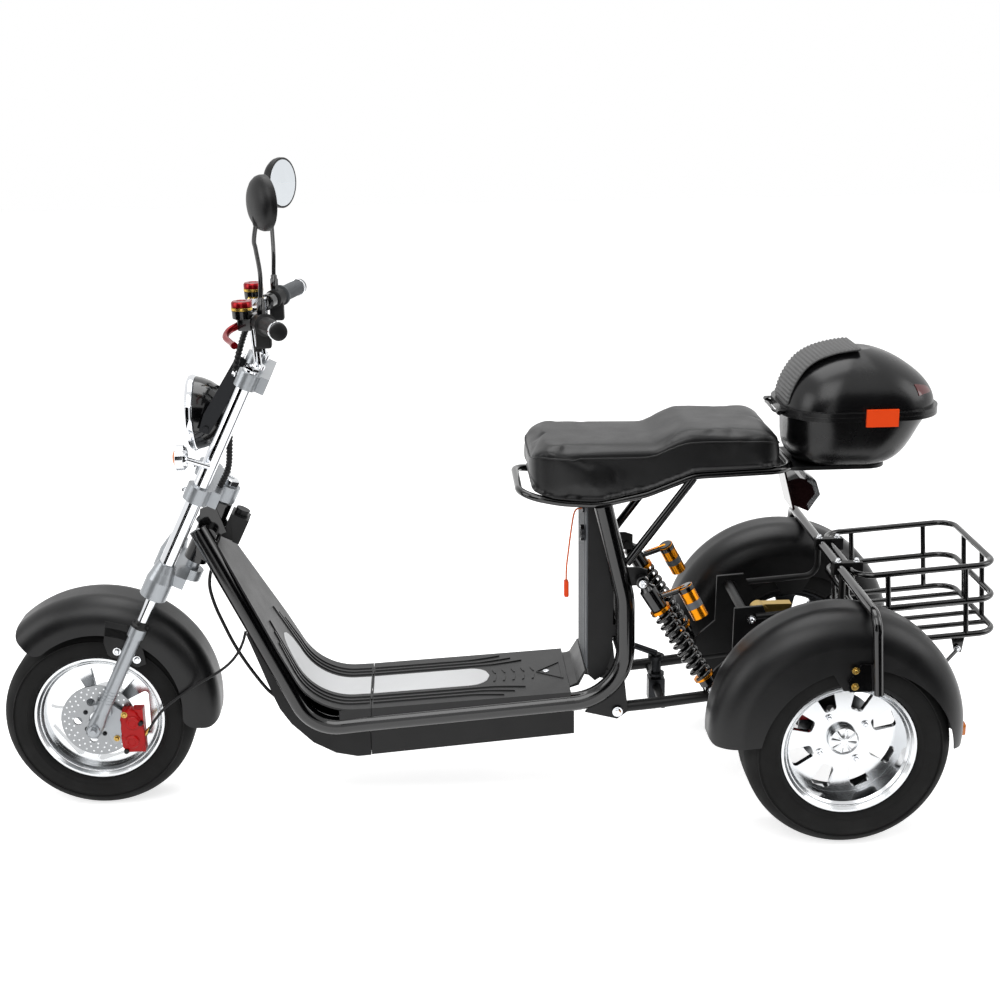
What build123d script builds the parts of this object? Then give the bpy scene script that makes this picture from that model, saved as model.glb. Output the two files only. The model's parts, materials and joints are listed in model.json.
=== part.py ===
"""Electric cargo tricycle: one raked front wheel, a step-through footboard, a long seat,
two driven rear wheels, a wire basket and a hinged top case.

Millimetres. +X points forward, +Y to the rider's left, +Z up. The model is laid out from the
rear axle line (x = 0, z = 0 on the floor) and moved at the end so that its origin is the
middle of its length, on the floor.
"""
import math
import os

from build123d import *

# ---------------------------------------------------------------- driving dimensions
CLEAR = 0.3                    # seat clearance between neighbouring pieces
WHEELBASE = 1561.0
TRACK_HALF = 285.0             # rear wheel centre plane from the middle of the trike

FRONT_TYRE_R = 205.0
FRONT_TYRE_W = 128.0
REAR_TYRE_R = 212.0
REAR_TYRE_W = 146.0
TYRE_ROUNDS = (12.0, 40.0, 90.0, 90.0, 40.0, 12.0)     # bends of the tyre's section, wall to wall
BEAD_R = 127.0                 # ten-inch bead seat
LIP_R = 139.0
LIP_DEPTH = 6.0                # width of the rolled lip at each rim edge
FRONT_RIM_HALF = 48.0
REAR_RIM_HALF = 58.0
RIM_WALL = 5.0
SPOKE_FACE_T = 14.0
HUB_R = 42.0
HUB_CAP_R = 30.0
FRONT_SPOKES = 5
REAR_SPOKES = 8

RAKE = 26.0                    # steering axis from the vertical, degrees
AXIS_OFFSET = 50.4             # fork legs ahead of the steering axis
LEG_Y = 92.0                   # fork leg from the middle plane
AXLE_R = 7.0
AXLE_HALF = 128.0

RAIL_R = 20.0                  # main frame tube
RAIL_Y = 115.0
SEAT_RAIL_Y = 118.0
DECK_HALF = 126.0
DECK_T = 4.0
DECK_SEAM_X = 972.0
DECK_SEAM_Z = 242.0
DECK_REAR_X = 546.0
DECK_REAR_Z = 264.0

SEAT_HALF = 138.0
CASE_HALF = 137.0
CASE_WALL = 3.0
CASE_SEAM_Z = 853.0

BASKET_TUBE_R = 6.5
BASKET_HALF = 150.0
BASKET_FRONT_X = -52.0
BASKET_REAR_X = -346.0
BASKET_TOP_Z = 524.0
BASKET_STEP = 76.0             # height between the basket's three hoops
BASKET_TILT = 4.0              # basket floor rises to the rear, degrees

GUARD_X = 20.0                 # rear mudguard arc centre and crown radius
GUARD_Z = 245.0
GUARD_R = 262.0
GUARD_HALF = 82.0
LIP_X = -12.0                  # circle of its lower lip, around the tyre
LIP_Z = 196.0
GUARD_LIP_R = 200.0
HOOP_R = 10.0
HOOP_Y = 381.0
HOOP_X = -32.0

# ---------------------------------------------------------------- derived datums
SIN_R = math.sin(math.radians(RAKE))
COS_R = math.cos(math.radians(RAKE))
FRONT_AXLE = Vector(WHEELBASE, 0, FRONT_TYRE_R)
REAR_AXLE = Vector(0, 0, REAR_TYRE_R)
FRONT_REACH = WHEELBASE + FRONT_TYRE_R
BASKET_MID_X = (BASKET_FRONT_X + BASKET_REAR_X) / 2
BASKET_LEN = BASKET_FRONT_X - BASKET_REAR_X
BASKET_LEAN = math.radians(BASKET_TILT)
REAR_REACH = (BASKET_LEN / 2 * math.cos(BASKET_LEAN) + 2 * BASKET_STEP * math.sin(BASKET_LEAN)
              + BASKET_TUBE_R - BASKET_MID_X)
HOOP_Z = GUARD_Z + math.sqrt((GUARD_R + HOOP_R + CLEAR) ** 2 - (HOOP_X - GUARD_X) ** 2)
INSIDE_RAILS = RAIL_Y - RAIL_R - CLEAR       # half-width of what fits between the side rails
ORIGIN_X = (FRONT_REACH - REAR_REACH) / 2


def steer(forward, side, along):
    """Point given by its distance ahead of the steering axis, its side offset and its
    height along the axis above the front axle's level on that axis."""
    foot_x = WHEELBASE - AXIS_OFFSET * COS_R
    foot_z = FRONT_TYRE_R - AXIS_OFFSET * SIN_R
    return Vector(foot_x + forward * COS_R - along * SIN_R, side,
                  foot_z + forward * SIN_R + along * COS_R)


def leg(side, along):
    """Point on a fork leg's centre line, `along` above the wheel axle."""
    return steer(AXIS_OFFSET, side, along)


def rod(start, end, radius):
    """Solid cylinder between two points."""
    start, end = Vector(*start), Vector(*end)
    axis = end - start
    plane = Plane(origin=start, z_dir=axis)
    return extrude(plane * Circle(radius), axis.length)


def tube_path(points, bends):
    """Straight runs joined by tangent arcs; one radius for each inner point."""
    return FilletPolyline(*[Vector(*p) for p in points], radius=bends)


def bent(points, bends, radius):
    """Round bar swept along straight runs and arcs."""
    path = tube_path(points, bends)
    section = Plane(origin=path @ 0, z_dir=path % 0) * Circle(radius)
    return sweep(section, path=path)


def block(x0, x1, y0, y1, z0, z1):
    """Box between two corners."""
    return Pos((x0 + x1) / 2, (y0 + y1) / 2, (z0 + z1) / 2) * Box(abs(x1 - x0), abs(y1 - y0), abs(z1 - z0))


def side_plate(points, y0, y1):
    """Flat plate cut to a side-view outline of (x, z) points, between two y values."""
    face = make_face(Polyline(*[(x, y0, z) for x, z in points], close=True))
    return extrude(face, amount=abs(y1 - y0), dir=(0, 1 if y1 > y0 else -1, 0))


def mirrored(solid):
    """The solid's left-right mirror image."""
    return mirror(solid, about=Plane.XZ)


def both(solid):
    """The solid and its mirror image in one list."""
    return [solid, mirrored(solid)]


def lathe(profile, centre):
    """Revolve a closed (radius, y) outline about the cross axis through `centre`."""
    wire = Polyline(*[(centre.X + r, centre.Y + y, centre.Z) for r, y in profile], close=True)
    axis = Axis((centre.X, centre.Y, centre.Z), (0, 1, 0))
    return revolve(make_face(wire), axis)


# ---------------------------------------------------------------- wheels
def tyre(centre, radius, width, rim_half):
    """Solid ring tyre: beads between the rim lips, bulged walls, round shoulders."""
    bead_y = rim_half - LIP_DEPTH - CLEAR
    bead = BEAD_R + CLEAR
    wall = LIP_R + CLEAR
    half = width / 2
    bead_line = Line((bead, bead_y), (wall, bead_y))
    wall_line = FilletPolyline((wall, bead_y), (wall + 6, half - 1), (radius - 1, half - 1),
                               (radius, half * 0.3), (radius, -half * 0.3), (radius - 1, 1 - half),
                               (wall + 6, 1 - half), (wall, -bead_y), radius=TYRE_ROUNDS)
    lines = [bead_line, wall_line, Line((wall, -bead_y), (bead, -bead_y)), Line((bead, -bead_y), (bead, bead_y))]
    return revolve(Pos(centre.X, 0, centre.Z) * Pos(0, centre.Y, 0) * make_face(lines),
                   Axis((centre.X, centre.Y, centre.Z), (0, 1, 0)))


def rim_barrel(centre, rim_half):
    """Rolled rim well with a lip at each edge."""
    lip = rim_half - LIP_DEPTH
    inner = BEAD_R - RIM_WALL
    half = [
        (BEAD_R, lip),
        (LIP_R, lip),
        (LIP_R, rim_half),
        (LIP_R - RIM_WALL, rim_half),
        (inner, lip - 8),
    ]
    other = [(r, -y) for r, y in reversed(half)]
    return lathe(half + other, centre)


def window(face_y, inner, outer, half_angle, corner, depth):
    """One rounded opening between two spokes, cut straight through the wheel face."""
    a = math.radians(half_angle)
    points = [
        (inner, -inner * math.tan(a)),
        (outer * math.cos(a), -outer * math.sin(a)),
        (outer * math.cos(a), outer * math.sin(a)),
        (inner, inner * math.tan(a)),
    ]
    plane = Plane(origin=(0, face_y, 0), x_dir=(1, 0, 0), z_dir=(0, 1, 0))
    sketch = Polygon(*points, align=None)
    sketch = fillet(sketch.vertices(), corner)
    return extrude(plane * sketch, depth, both=True)


def rim(centre, rim_half, face_y, hub_inner, hub_outer, bore, count, window_in, half_angle):
    """Cast rim: barrel, pierced face and hub in one piece, bored for its axle."""
    inner = BEAD_R - RIM_WALL
    face = rod((0, face_y - SPOKE_FACE_T, 0), (0, face_y, 0), inner + 1)
    for index in range(count):
        hole = window(face_y, window_in, inner - 6, half_angle, 8, 3 * SPOKE_FACE_T)
        face = face - Rot(0, (index + 0.5) * 360 / count, 0) * hole
    hub = rod((0, hub_inner, 0), (0, face_y, 0), HUB_R) + rod((0, face_y - 1, 0), (0, hub_outer, 0), HUB_CAP_R)
    body = Pos(centre.X, centre.Y, centre.Z) * (face + hub) + rim_barrel(centre, rim_half)
    return body - bore


def disc(centre, y0, y1, radius, hole):
    """Flat drilled brake disc on its carrier."""
    start = Vector(centre.X, y0, centre.Z)
    end = Vector(centre.X, y1, centre.Z)
    plate = rod(start, end, radius) - rod(start, end, hole)
    windows = 5
    for index in range(windows):
        angle = math.radians(index * 360 / windows)
        middle = (radius + hole) / 2 - 6
        spot = Vector(centre.X + middle * math.cos(angle), y0 - 1, centre.Z + middle * math.sin(angle))
        plate = plate - rod(spot, spot + Vector(0, y1 - y0 + 2, 0), 9)
    return plate


DISC_R = 80.0
FRONT_HUB_HALF = 54.0
FRONT_DISC_Y = 60.0
DISC_T = 4.0
STUB_R = 12.0
REAR_HUB_IN = -52.0            # hub ends, from the wheel's centre plane
REAR_HUB_OUT = 14.0


def front_wheel():
    """Nodes that turn on the front axle."""
    centre = FRONT_AXLE
    reach = Vector(0, FRONT_DISC_Y + DISC_T + 4, 0)
    bore = rod(centre - reach, centre + reach, AXLE_R + CLEAR)
    nodes = {}
    nodes["front_tyre"] = tyre(centre, FRONT_TYRE_R, FRONT_TYRE_W, FRONT_RIM_HALF)
    nodes["front_rim"] = rim(centre, FRONT_RIM_HALF, 20.0, -FRONT_HUB_HALF, FRONT_HUB_HALF, bore,
                             FRONT_SPOKES, HUB_R + 8, 27.0)
    nodes["front_brake_disc"] = disc(centre, FRONT_HUB_HALF + CLEAR, FRONT_HUB_HALF + CLEAR + DISC_T,
                                     DISC_R, HUB_R * 0.5)
    return nodes


def rear_wheel():
    """Left rear wheel: tyre, cast rim with a closed cap, and its disc on the inner side."""
    centre = REAR_AXLE + Vector(0, TRACK_HALF, 0)
    inner_end = centre + Vector(0, REAR_HUB_IN - 6, 0)
    bore = rod(inner_end, centre + Vector(0, -4, 0), STUB_R + CLEAR)
    face_y = 1.0
    nodes = {}
    nodes["rear_tyre"] = tyre(centre, REAR_TYRE_R, REAR_TYRE_W, REAR_RIM_HALF)
    nodes["rear_rim"] = rim(centre, REAR_RIM_HALF, face_y, REAR_HUB_IN, REAR_HUB_OUT, bore,
                            REAR_SPOKES, 66.0, 10.5)
    disc_y = TRACK_HALF + REAR_HUB_IN - CLEAR
    nodes["rear_brake_disc"] = disc(REAR_AXLE, disc_y - DISC_T, disc_y, DISC_R, HUB_R * 0.5)
    return nodes


# ---------------------------------------------------------------- fork and steering
SLIDER_R = 14.5
STANCHION_R = 11.0
FORK_TUBE_R = 16.5
CASTING_R = 28.5
COLLAR_R = 18.0                # dust collar on each slider
COLLAR_H = 24.0
SLIDER_TOP = 250.0             # heights along a leg above the wheel axle
CASTING_LOW = 325.0
CASTING_HIGH = 405.0
BRIDGE_LOW = 362.0
BRIDGE_T = 24.0
MID_YOKE = 553.0
YOKE_T = 34.0
TOP_YOKE = 815.0
STEM_R = 14.0
HEAD_R = 25.0


def yoke_plane(along):
    """Sketch plane square to the steering axis: X ahead, Y to the left."""
    return Plane(origin=steer(0, 0, along), x_dir=(COS_R, 0, SIN_R), z_dir=(-SIN_R, 0, COS_R))


def yoke(along, thickness, ring, web, stem):
    """Clamp plate that joins both legs, with a boss on the steering axis if `stem` is set."""
    sketch = Pos(AXIS_OFFSET, LEG_Y) * Circle(ring) + Pos(AXIS_OFFSET, -LEG_Y) * Circle(ring)
    sketch = sketch + Pos(AXIS_OFFSET / 2 + 4, 0) * Rectangle(web, 2 * LEG_Y)
    if stem:
        sketch = sketch + Circle(stem)
    return extrude(yoke_plane(along) * sketch, thickness)


def fork():
    """Legs, yokes and front axle."""
    nodes = {}
    sliders = []
    tubes = []
    castings = []
    for side in (LEG_Y, -LEG_Y):
        slider = rod(leg(side, -20), leg(side, SLIDER_TOP), SLIDER_R)
        slider = slider + rod(leg(side, SLIDER_TOP - COLLAR_H), leg(side, SLIDER_TOP), COLLAR_R)
        slider = slider - rod((WHEELBASE, side - 30, FRONT_TYRE_R), (WHEELBASE, side + 30, FRONT_TYRE_R),
                              AXLE_R + CLEAR)
        sliders.append(slider)
        tube = rod(leg(side, SLIDER_TOP + CLEAR), leg(side, CASTING_LOW + 5), STANCHION_R)
        tube = tube + rod(leg(side, CASTING_LOW + 5), leg(side, TOP_YOKE + YOKE_T + 6), FORK_TUBE_R)
        tubes.append(tube)
        low = rod(leg(side, CASTING_LOW), leg(side, CASTING_HIGH - 40), CASTING_R)
        plane = Plane(origin=leg(side, CASTING_HIGH - 40), z_dir=(-SIN_R, 0, COS_R))
        cone = plane * Pos(0, 0, 20) * Cone(CASTING_R, FORK_TUBE_R + 3, 40)
        castings.append(low + cone)
    bridge = yoke(BRIDGE_LOW, BRIDGE_T, 24, 58, 26)
    bridge = bridge + castings[0] + castings[1]
    bridge = bridge + rod(steer(0, 0, BRIDGE_LOW), steer(0, 0, MID_YOKE - CLEAR), STEM_R)
    holes = []
    for side in (LEG_Y, -LEG_Y):
        holes.append(rod(leg(side, CASTING_LOW + 5 - CLEAR), leg(side, 900), FORK_TUBE_R + CLEAR))
        holes.append(rod(leg(side, 200), leg(side, CASTING_LOW + 6), STANCHION_R + CLEAR))
    for hole in holes:
        bridge = bridge - hole
    mid = yoke(MID_YOKE, YOKE_T, 26, 50, 27)
    mid = mid + rod(steer(0, 0, MID_YOKE), steer(0, 0, MID_YOKE + YOKE_T + 14), 17)
    top = yoke(TOP_YOKE, YOKE_T, 23, 40, 0)
    for hole in (holes[0], holes[2]):
        mid = mid - hole
        top = top - hole
    nodes["fork_tubes"] = tubes
    nodes["fork_bridge"] = bridge
    nodes["fork_yokes"] = [mid, top]
    axle = rod((WHEELBASE, -AXLE_HALF, FRONT_TYRE_R), (WHEELBASE, AXLE_HALF, FRONT_TYRE_R), AXLE_R)
    for side in (1, -1):
        nut_in = side * (LEG_Y + SLIDER_R + CLEAR)
        axle = axle + rod((WHEELBASE, nut_in, FRONT_TYRE_R), (WHEELBASE, nut_in + side * 9, FRONT_TYRE_R), 12)
    nodes["fork_sliders"] = sliders + [axle]
    return nodes


FENDER_T = 3.0


def sector(centre_x, centre_z, inner, outer, start, end, corner):
    """Side-view face of a mudguard: part of a ring with rounded corners, at y = 0."""
    plane = Plane(origin=(centre_x, 0, centre_z), x_dir=(1, 0, 0), z_dir=(0, -1, 0))
    rim_arc = CenterArc((0, 0), outer, start, end - start)
    lip_arc = CenterArc((0, 0), inner, start, end - start)
    face = make_face([rim_arc, Line(rim_arc @ 1, lip_arc @ 1), lip_arc, Line(lip_arc @ 0, rim_arc @ 0)])
    return plane * fillet(face.vertices(), corner)


def arch(centre_x, centre_z, radius, half, depth, shoulder, start, end):
    """Rounded mudguard: a channel section with round shoulders, swept round an arc in degrees."""
    outer = FilletPolyline((centre_x + radius - depth, -half, centre_z), (centre_x + radius, -half, centre_z),
                           (centre_x + radius, half, centre_z), (centre_x + radius - depth, half, centre_z),
                           radius=shoulder)
    low, thin = radius - FENDER_T, half - FENDER_T
    inner = FilletPolyline((centre_x + radius - depth, -thin, centre_z), (centre_x + low, -thin, centre_z),
                           (centre_x + low, thin, centre_z), (centre_x + radius - depth, thin, centre_z),
                           radius=shoulder - FENDER_T)
    face = make_face([outer, Line(outer @ 1, inner @ 1), inner, Line(inner @ 0, outer @ 0)])
    axis = Axis((centre_x, 0, centre_z), (0, -1, 0))
    solid = revolve(face, axis, end - start)
    turn = Pos(centre_x, 0, centre_z) * Rot(0, -start, 0) * Pos(-centre_x, 0, -centre_z)
    return turn * solid


def front_end():
    """Mudguard, lamps and brake parts carried by the fork."""
    nodes = {}
    crown_x, crown_z, crown_r = WHEELBASE - 9, 233.0, 250.0
    guard = arch(crown_x, crown_z, crown_r, 80, 76, 56, 44, 193)
    shape = sector(crown_x, crown_z, crown_r - 75, crown_r + 1, 44.5, 192.5, 24)
    guard = guard & (extrude(shape, 90, dir=(0, 1, 0)) + extrude(shape, 90, dir=(0, -1, 0)))
    for side in (LEG_Y, -LEG_Y):
        guard = guard - rod(leg(side, 0), leg(side, SLIDER_TOP + 40), SLIDER_R + CLEAR)
        guard = guard - rod(leg(side, SLIDER_TOP - COLLAR_H - CLEAR), leg(side, SLIDER_TOP + 40), COLLAR_R + CLEAR)
    nodes["front_fender"] = guard

    lamp_x, lamp_z, lamp_r = 1318.0, 866.0, 76.0
    shell = lathe_x([(0, 0), (0, lamp_r), (-10, lamp_r), (-30, lamp_r - 8), (-62, lamp_r - 34),
                     (-74, lamp_r - 62), (-74, 0)], lamp_x, lamp_z)
    hollow = lathe_x([(1, 0), (1, lamp_r - 4), (-12, lamp_r - 4), (-30, lamp_r - 11), (-60, lamp_r - 37),
                      (-70, 0)], lamp_x, lamp_z)
    nodes["headlamp_shell"] = shell - hollow
    lamp_solid = lathe_x([(CLEAR, 0), (CLEAR, lamp_r + CLEAR), (-10, lamp_r + CLEAR), (-30, lamp_r - 8 + CLEAR),
                          (-62, lamp_r - 34 + CLEAR), (-74 - CLEAR, lamp_r - 62), (-74 - CLEAR, 0)], lamp_x, lamp_z)
    nodes["headlamp_lens"] = lathe_x([(12, 0), (9, 40), (0, lamp_r - 4 - CLEAR), (-4, lamp_r - 4 - CLEAR),
                                      (5, 38), (8, 0)], lamp_x, lamp_z)
    ears = []
    ear_y = lamp_r + CLEAR
    for side in (1, -1):
        ear = side_plate([(1302, 846), (1282, 838), (1270, 856), (1206, 952), (1232, 972), (1290, 880)],
                         side * ear_y, side * (ear_y + 4))
        ear = ear + rod((1287, side * 62, 850), (1287, side * (ear_y + 9), 850), 6)
        ear = ear - rod(leg(side * LEG_Y, 700), leg(side * LEG_Y, TOP_YOKE - CLEAR), FORK_TUBE_R + CLEAR)
        ear = ear - rod(leg(side * LEG_Y, TOP_YOKE - CLEAR), leg(side * LEG_Y, 900), 23 + CLEAR)
        ears.append(ear - lamp_solid)
    nodes["headlamp_ears"] = ears

    signals = []
    for side in (1, -1):
        pod = lathe_x([(-10, 0), (-10, 21), (-3, 25), (6, 25), (10, 20), (11, 0)], 1332, 804)
        pod = Pos(0, side * 130, 0) * pod
        arm = rod((1324, side * 130, 800), leg(side * (LEG_Y + FORK_TUBE_R + CLEAR + 6), 640), 6)
        signals.append(pod + arm)
    nodes["front_signals"] = signals

    caliper = block(1462, 1506, 46, 80, 138, 236)
    slot_low = FRONT_HUB_HALF + CLEAR - 1.5
    caliper = caliper - rod((WHEELBASE, slot_low, FRONT_TYRE_R), (WHEELBASE, slot_low + DISC_T + 3, FRONT_TYRE_R),
                            DISC_R + 3)
    caliper = caliper - block(1462, 1506, 46, slot_low, 138, 236)
    bracket = side_plate([(1506 + CLEAR, 228), (1506 + CLEAR, 160), (1530, 152), (1545, 188), (1552, 222),
                          (1560, 250), (1535, 252)], 64, 70)
    bracket = bracket + block(1528, 1562, 64, 86, 226, 252)
    bracket = bracket - rod(leg(LEG_Y, -20), leg(LEG_Y, SLIDER_TOP), SLIDER_R + CLEAR)
    nodes["front_caliper"] = [caliper, bracket]
    return nodes


def lathe_x(profile, centre_x, centre_z):
    """Revolve an open (x, radius) outline about a fore-and-aft axis."""
    wire = Polyline(*[(centre_x + x, 0, centre_z + r) for x, r in profile], close=True)
    return revolve(make_face(wire), Axis((centre_x, 0, centre_z), (1, 0, 0)))


BAR_R = 11.0
BAR_X = 1182.0
BAR_Z = 1074.0
BAR_END_X = 1110.0
BAR_END_Y = 277.0
GRIP_R = 17.0
RISER_Y = 54.0


def bar_point(side, y):
    """Point on the handlebar's swept-back outer run at a given distance from the middle."""
    share = (y - 70.0) / (BAR_END_Y - 70.0)
    return Vector(BAR_X + (BAR_END_X - BAR_X) * share, side * y, BAR_Z + 8 * share)


def handlebar():
    """Bar, risers, grips, switches, levers, brake reservoirs and mirrors."""
    nodes = {}
    points = [bar_point(-1, BAR_END_Y - 4), bar_point(-1, 70), bar_point(1, 70),
              bar_point(1, BAR_END_Y - 4)]
    bar = bent(points, [40, 40], BAR_R)
    nodes["handlebar"] = bar
    risers = []
    for side in (1, -1):
        foot = steer(40, side * RISER_Y, TOP_YOKE + YOKE_T + CLEAR)
        head = Vector(BAR_X, side * RISER_Y, BAR_Z - BAR_R - CLEAR - 2)
        axis_up = Vector(-SIN_R, 0, COS_R)
        riser = rod(foot, foot + axis_up * 14, 13) + rod(foot + axis_up * 8, head, 8)
        clamp = block(BAR_X - 19, BAR_X + 19, side * RISER_Y - 12, side * RISER_Y + 12, BAR_Z - 20, BAR_Z + 20)
        clamp = clamp - rod((BAR_X, side * RISER_Y - 20, BAR_Z), (BAR_X, side * RISER_Y + 20, BAR_Z), BAR_R + CLEAR)
        risers.append(riser + clamp)
    nodes["bar_risers"] = risers

    grips = []
    switches = []
    levers = []
    pots = []
    mirrors = []
    glasses = []
    for side in (1, -1):
        inner = bar_point(side, 176)
        outer = bar_point(side, BAR_END_Y)
        tip = bar_point(side, BAR_END_Y - 4)
        grip = rod(inner, outer, GRIP_R) + rod(inner, inner + (outer - inner).normalized() * 5, 23)
        grip = grip - rod(inner, tip, BAR_R + CLEAR)
        grip = grip - rod(inner - (outer - inner).normalized(), tip + (outer - inner).normalized() * CLEAR,
                          BAR_R + CLEAR)
        grips.append(grip)
        box_in = bar_point(side, 138)
        box_out = bar_point(side, 172)
        box = rod(box_in, box_out, 19)
        low = bar_point(side, 155)
        box = box + block(low.X - 16, low.X + 14, side * 142, side * 168, low.Z - 48, low.Z)
        box = box - rod(bar_point(side, 120), bar_point(side, 190), BAR_R + CLEAR)
        switches.append(box)
        perch_in = bar_point(side, 104)
        perch_out = bar_point(side, 132)
        perch = rod(perch_in, perch_out, 17)
        middle = bar_point(side, 118)
        master = block(middle.X + 14, middle.X + 44, side * 106, side * 130, middle.Z - 22, middle.Z + 14)
        pot = Pos(middle.X + 30, side * 118, middle.Z + 24) * Cylinder(21, 36)
        whole = perch + master + pot
        pots.append(whole - rod(bar_point(side, 80), bar_point(side, 160), BAR_R + CLEAR))
        blade = [Vector(middle.X + 50, side * 112, middle.Z - 12),
                 Vector(middle.X + 66, side * 150, middle.Z - 22),
                 Vector(middle.X + 34, side * 236, middle.Z - 26)]
        levers.append(bent(blade, [24], 6))
        root = bar_point(side, 150)
        centre = Vector(root.X - 20, side * 200, root.Z + 238)
        turn = math.radians(28)
        back = Vector(math.cos(turn), side * math.sin(turn), 0)
        stem_points = [Vector(root.X, side * 150, root.Z + 19 + CLEAR),
                       Vector(root.X - 2, side * 151, root.Z + 96),
                       Vector(root.X + 2, side * 190, root.Z + 168),
                       centre + back * 15 + Vector(0, 0, -24)]
        stem = bent(stem_points, [24, 24], 4.5)
        stem = stem + rod(stem_points[0], stem_points[0] + Vector(0, 0, 30), 9)
        plane = Plane(origin=centre, z_dir=back)
        shell = plane * Pos(0, 0, -4) * Cylinder(53, 8)
        shell = shell + plane * Pos(0, 0, 8) * Cone(53, 30, 16)
        shell = shell - plane * Pos(0, 0, -7) * Cylinder(49, 8)
        mirrors.append(stem + shell)
        glasses.append(plane * Pos(0, 0, -5) * Cylinder(49 - CLEAR, 3))
    nodes["grips"] = grips
    nodes["bar_controls"] = switches + levers + pots
    nodes["mirrors"] = mirrors
    nodes["mirror_glass"] = glasses
    return nodes


# ---------------------------------------------------------------- main frame
NECK_LOW = 404.0               # head tube ends, along the steering axis
NECK_HIGH = 548.0
NECK_HALF = 52.0               # half-length of the tubes that join the rails to the head tube
CROSS_R = 12.0
NECK_ROD_X = 1288.0            # lower cross rod of the head tube; the floor sheet ends against it
NECK_ROD_Z = 576.0
CROSS_TUBES = ((960, 206), (600, 234), (430, 330), (432, 520))


def frame():
    """Two bent side rails, the head tube with its gussets, cross tubes and the seat tubes."""
    nodes = {}
    rails = [main_rail(side, RAIL_R) for side in (1, -1)]
    low = steer(0, 0, NECK_LOW)
    high = steer(0, 0, NECK_HIGH)
    head = rod(low, high, HEAD_R)
    bridge = rod((1300, -NECK_HALF, 612), (1300, NECK_HALF, 612), 16)
    lower = rod((NECK_ROD_X, -NECK_HALF, NECK_ROD_Z), (NECK_ROD_X, NECK_HALF, NECK_ROD_Z), CROSS_R)
    lower = lower + block(NECK_ROD_X, 1316, -12, 12, 568, 612)
    neck = head + bridge + lower
    for side in (1, -1):
        neck = neck + side_plate([(1274, 560), (1291, 594), (1288, 604), (1266, 612), (1288, 676), (1318, 664),
                                  (1334, 560), (1300, 540)],
                                 side * 22, side * 27)
    neck = neck - rod(low - (high - low), high + (high - low), STEM_R + CLEAR)
    neck = cut_all(neck, fat_rails())
    nodes["head_tube"] = neck

    cross = []
    reach = RAIL_Y - RAIL_R - CLEAR
    for x, z in CROSS_TUBES:
        cross.append(rod((x, -reach, z), (x, reach, z), CROSS_R))
    nodes["frame_tubes"] = rails + cross
    return nodes


def belly():
    """Rounded keel cover under the front bend of the rails."""
    outer = [(1230, 404), (1207, 340), (1180, 262), (1168, 232), (1145, 197), (1100, 152), (1053, 126),
             (1006, 116), (977, 118)]
    inner = [(x - 6, z + 4) for x, z in outer]
    half = INSIDE_RAILS - 2
    wall = side_plate(outer + [(977, 122)] + inner[::-1][1:], -half, half)
    side = side_plate(outer + [(977, 200), (1040, 206), (1088, 222), (1130, 282), (1165, 345), (1205, 430)],
                      -half, -half + 4)
    return wall + side + mirrored(side)


def main_rail(side, radius):
    """One side rail: down from the head tube, along the footboard and up to the seat."""
    points = [(1321.6, side * 50, 628), (1096.6, side * 112, 194), (972, side * RAIL_Y, 206),
              (428, side * RAIL_Y, 246), (430, side * RAIL_Y, 470), (478, side * RAIL_Y, 676)]
    return bent(points, [90, 400, 118, 160], radius)


def fat_rails():
    """Side rails grown by the seat clearance, to cut their neighbours."""
    return [main_rail(side, RAIL_R + CLEAR) for side in (1, -1)]


def cut_all(solid, cutters):
    """Take every cutter away from a solid."""
    for cutter in cutters:
        solid = solid - cutter
    return solid


KNUCKLE_R = 2.2


def knuckle(side, y0, y1, radius):
    """Short round on the hinge axis of the battery lid."""
    return rod((DECK_SEAM_X, side * y0, DECK_SEAM_Z), (DECK_SEAM_X, side * y1, DECK_SEAM_Z), radius)


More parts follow.
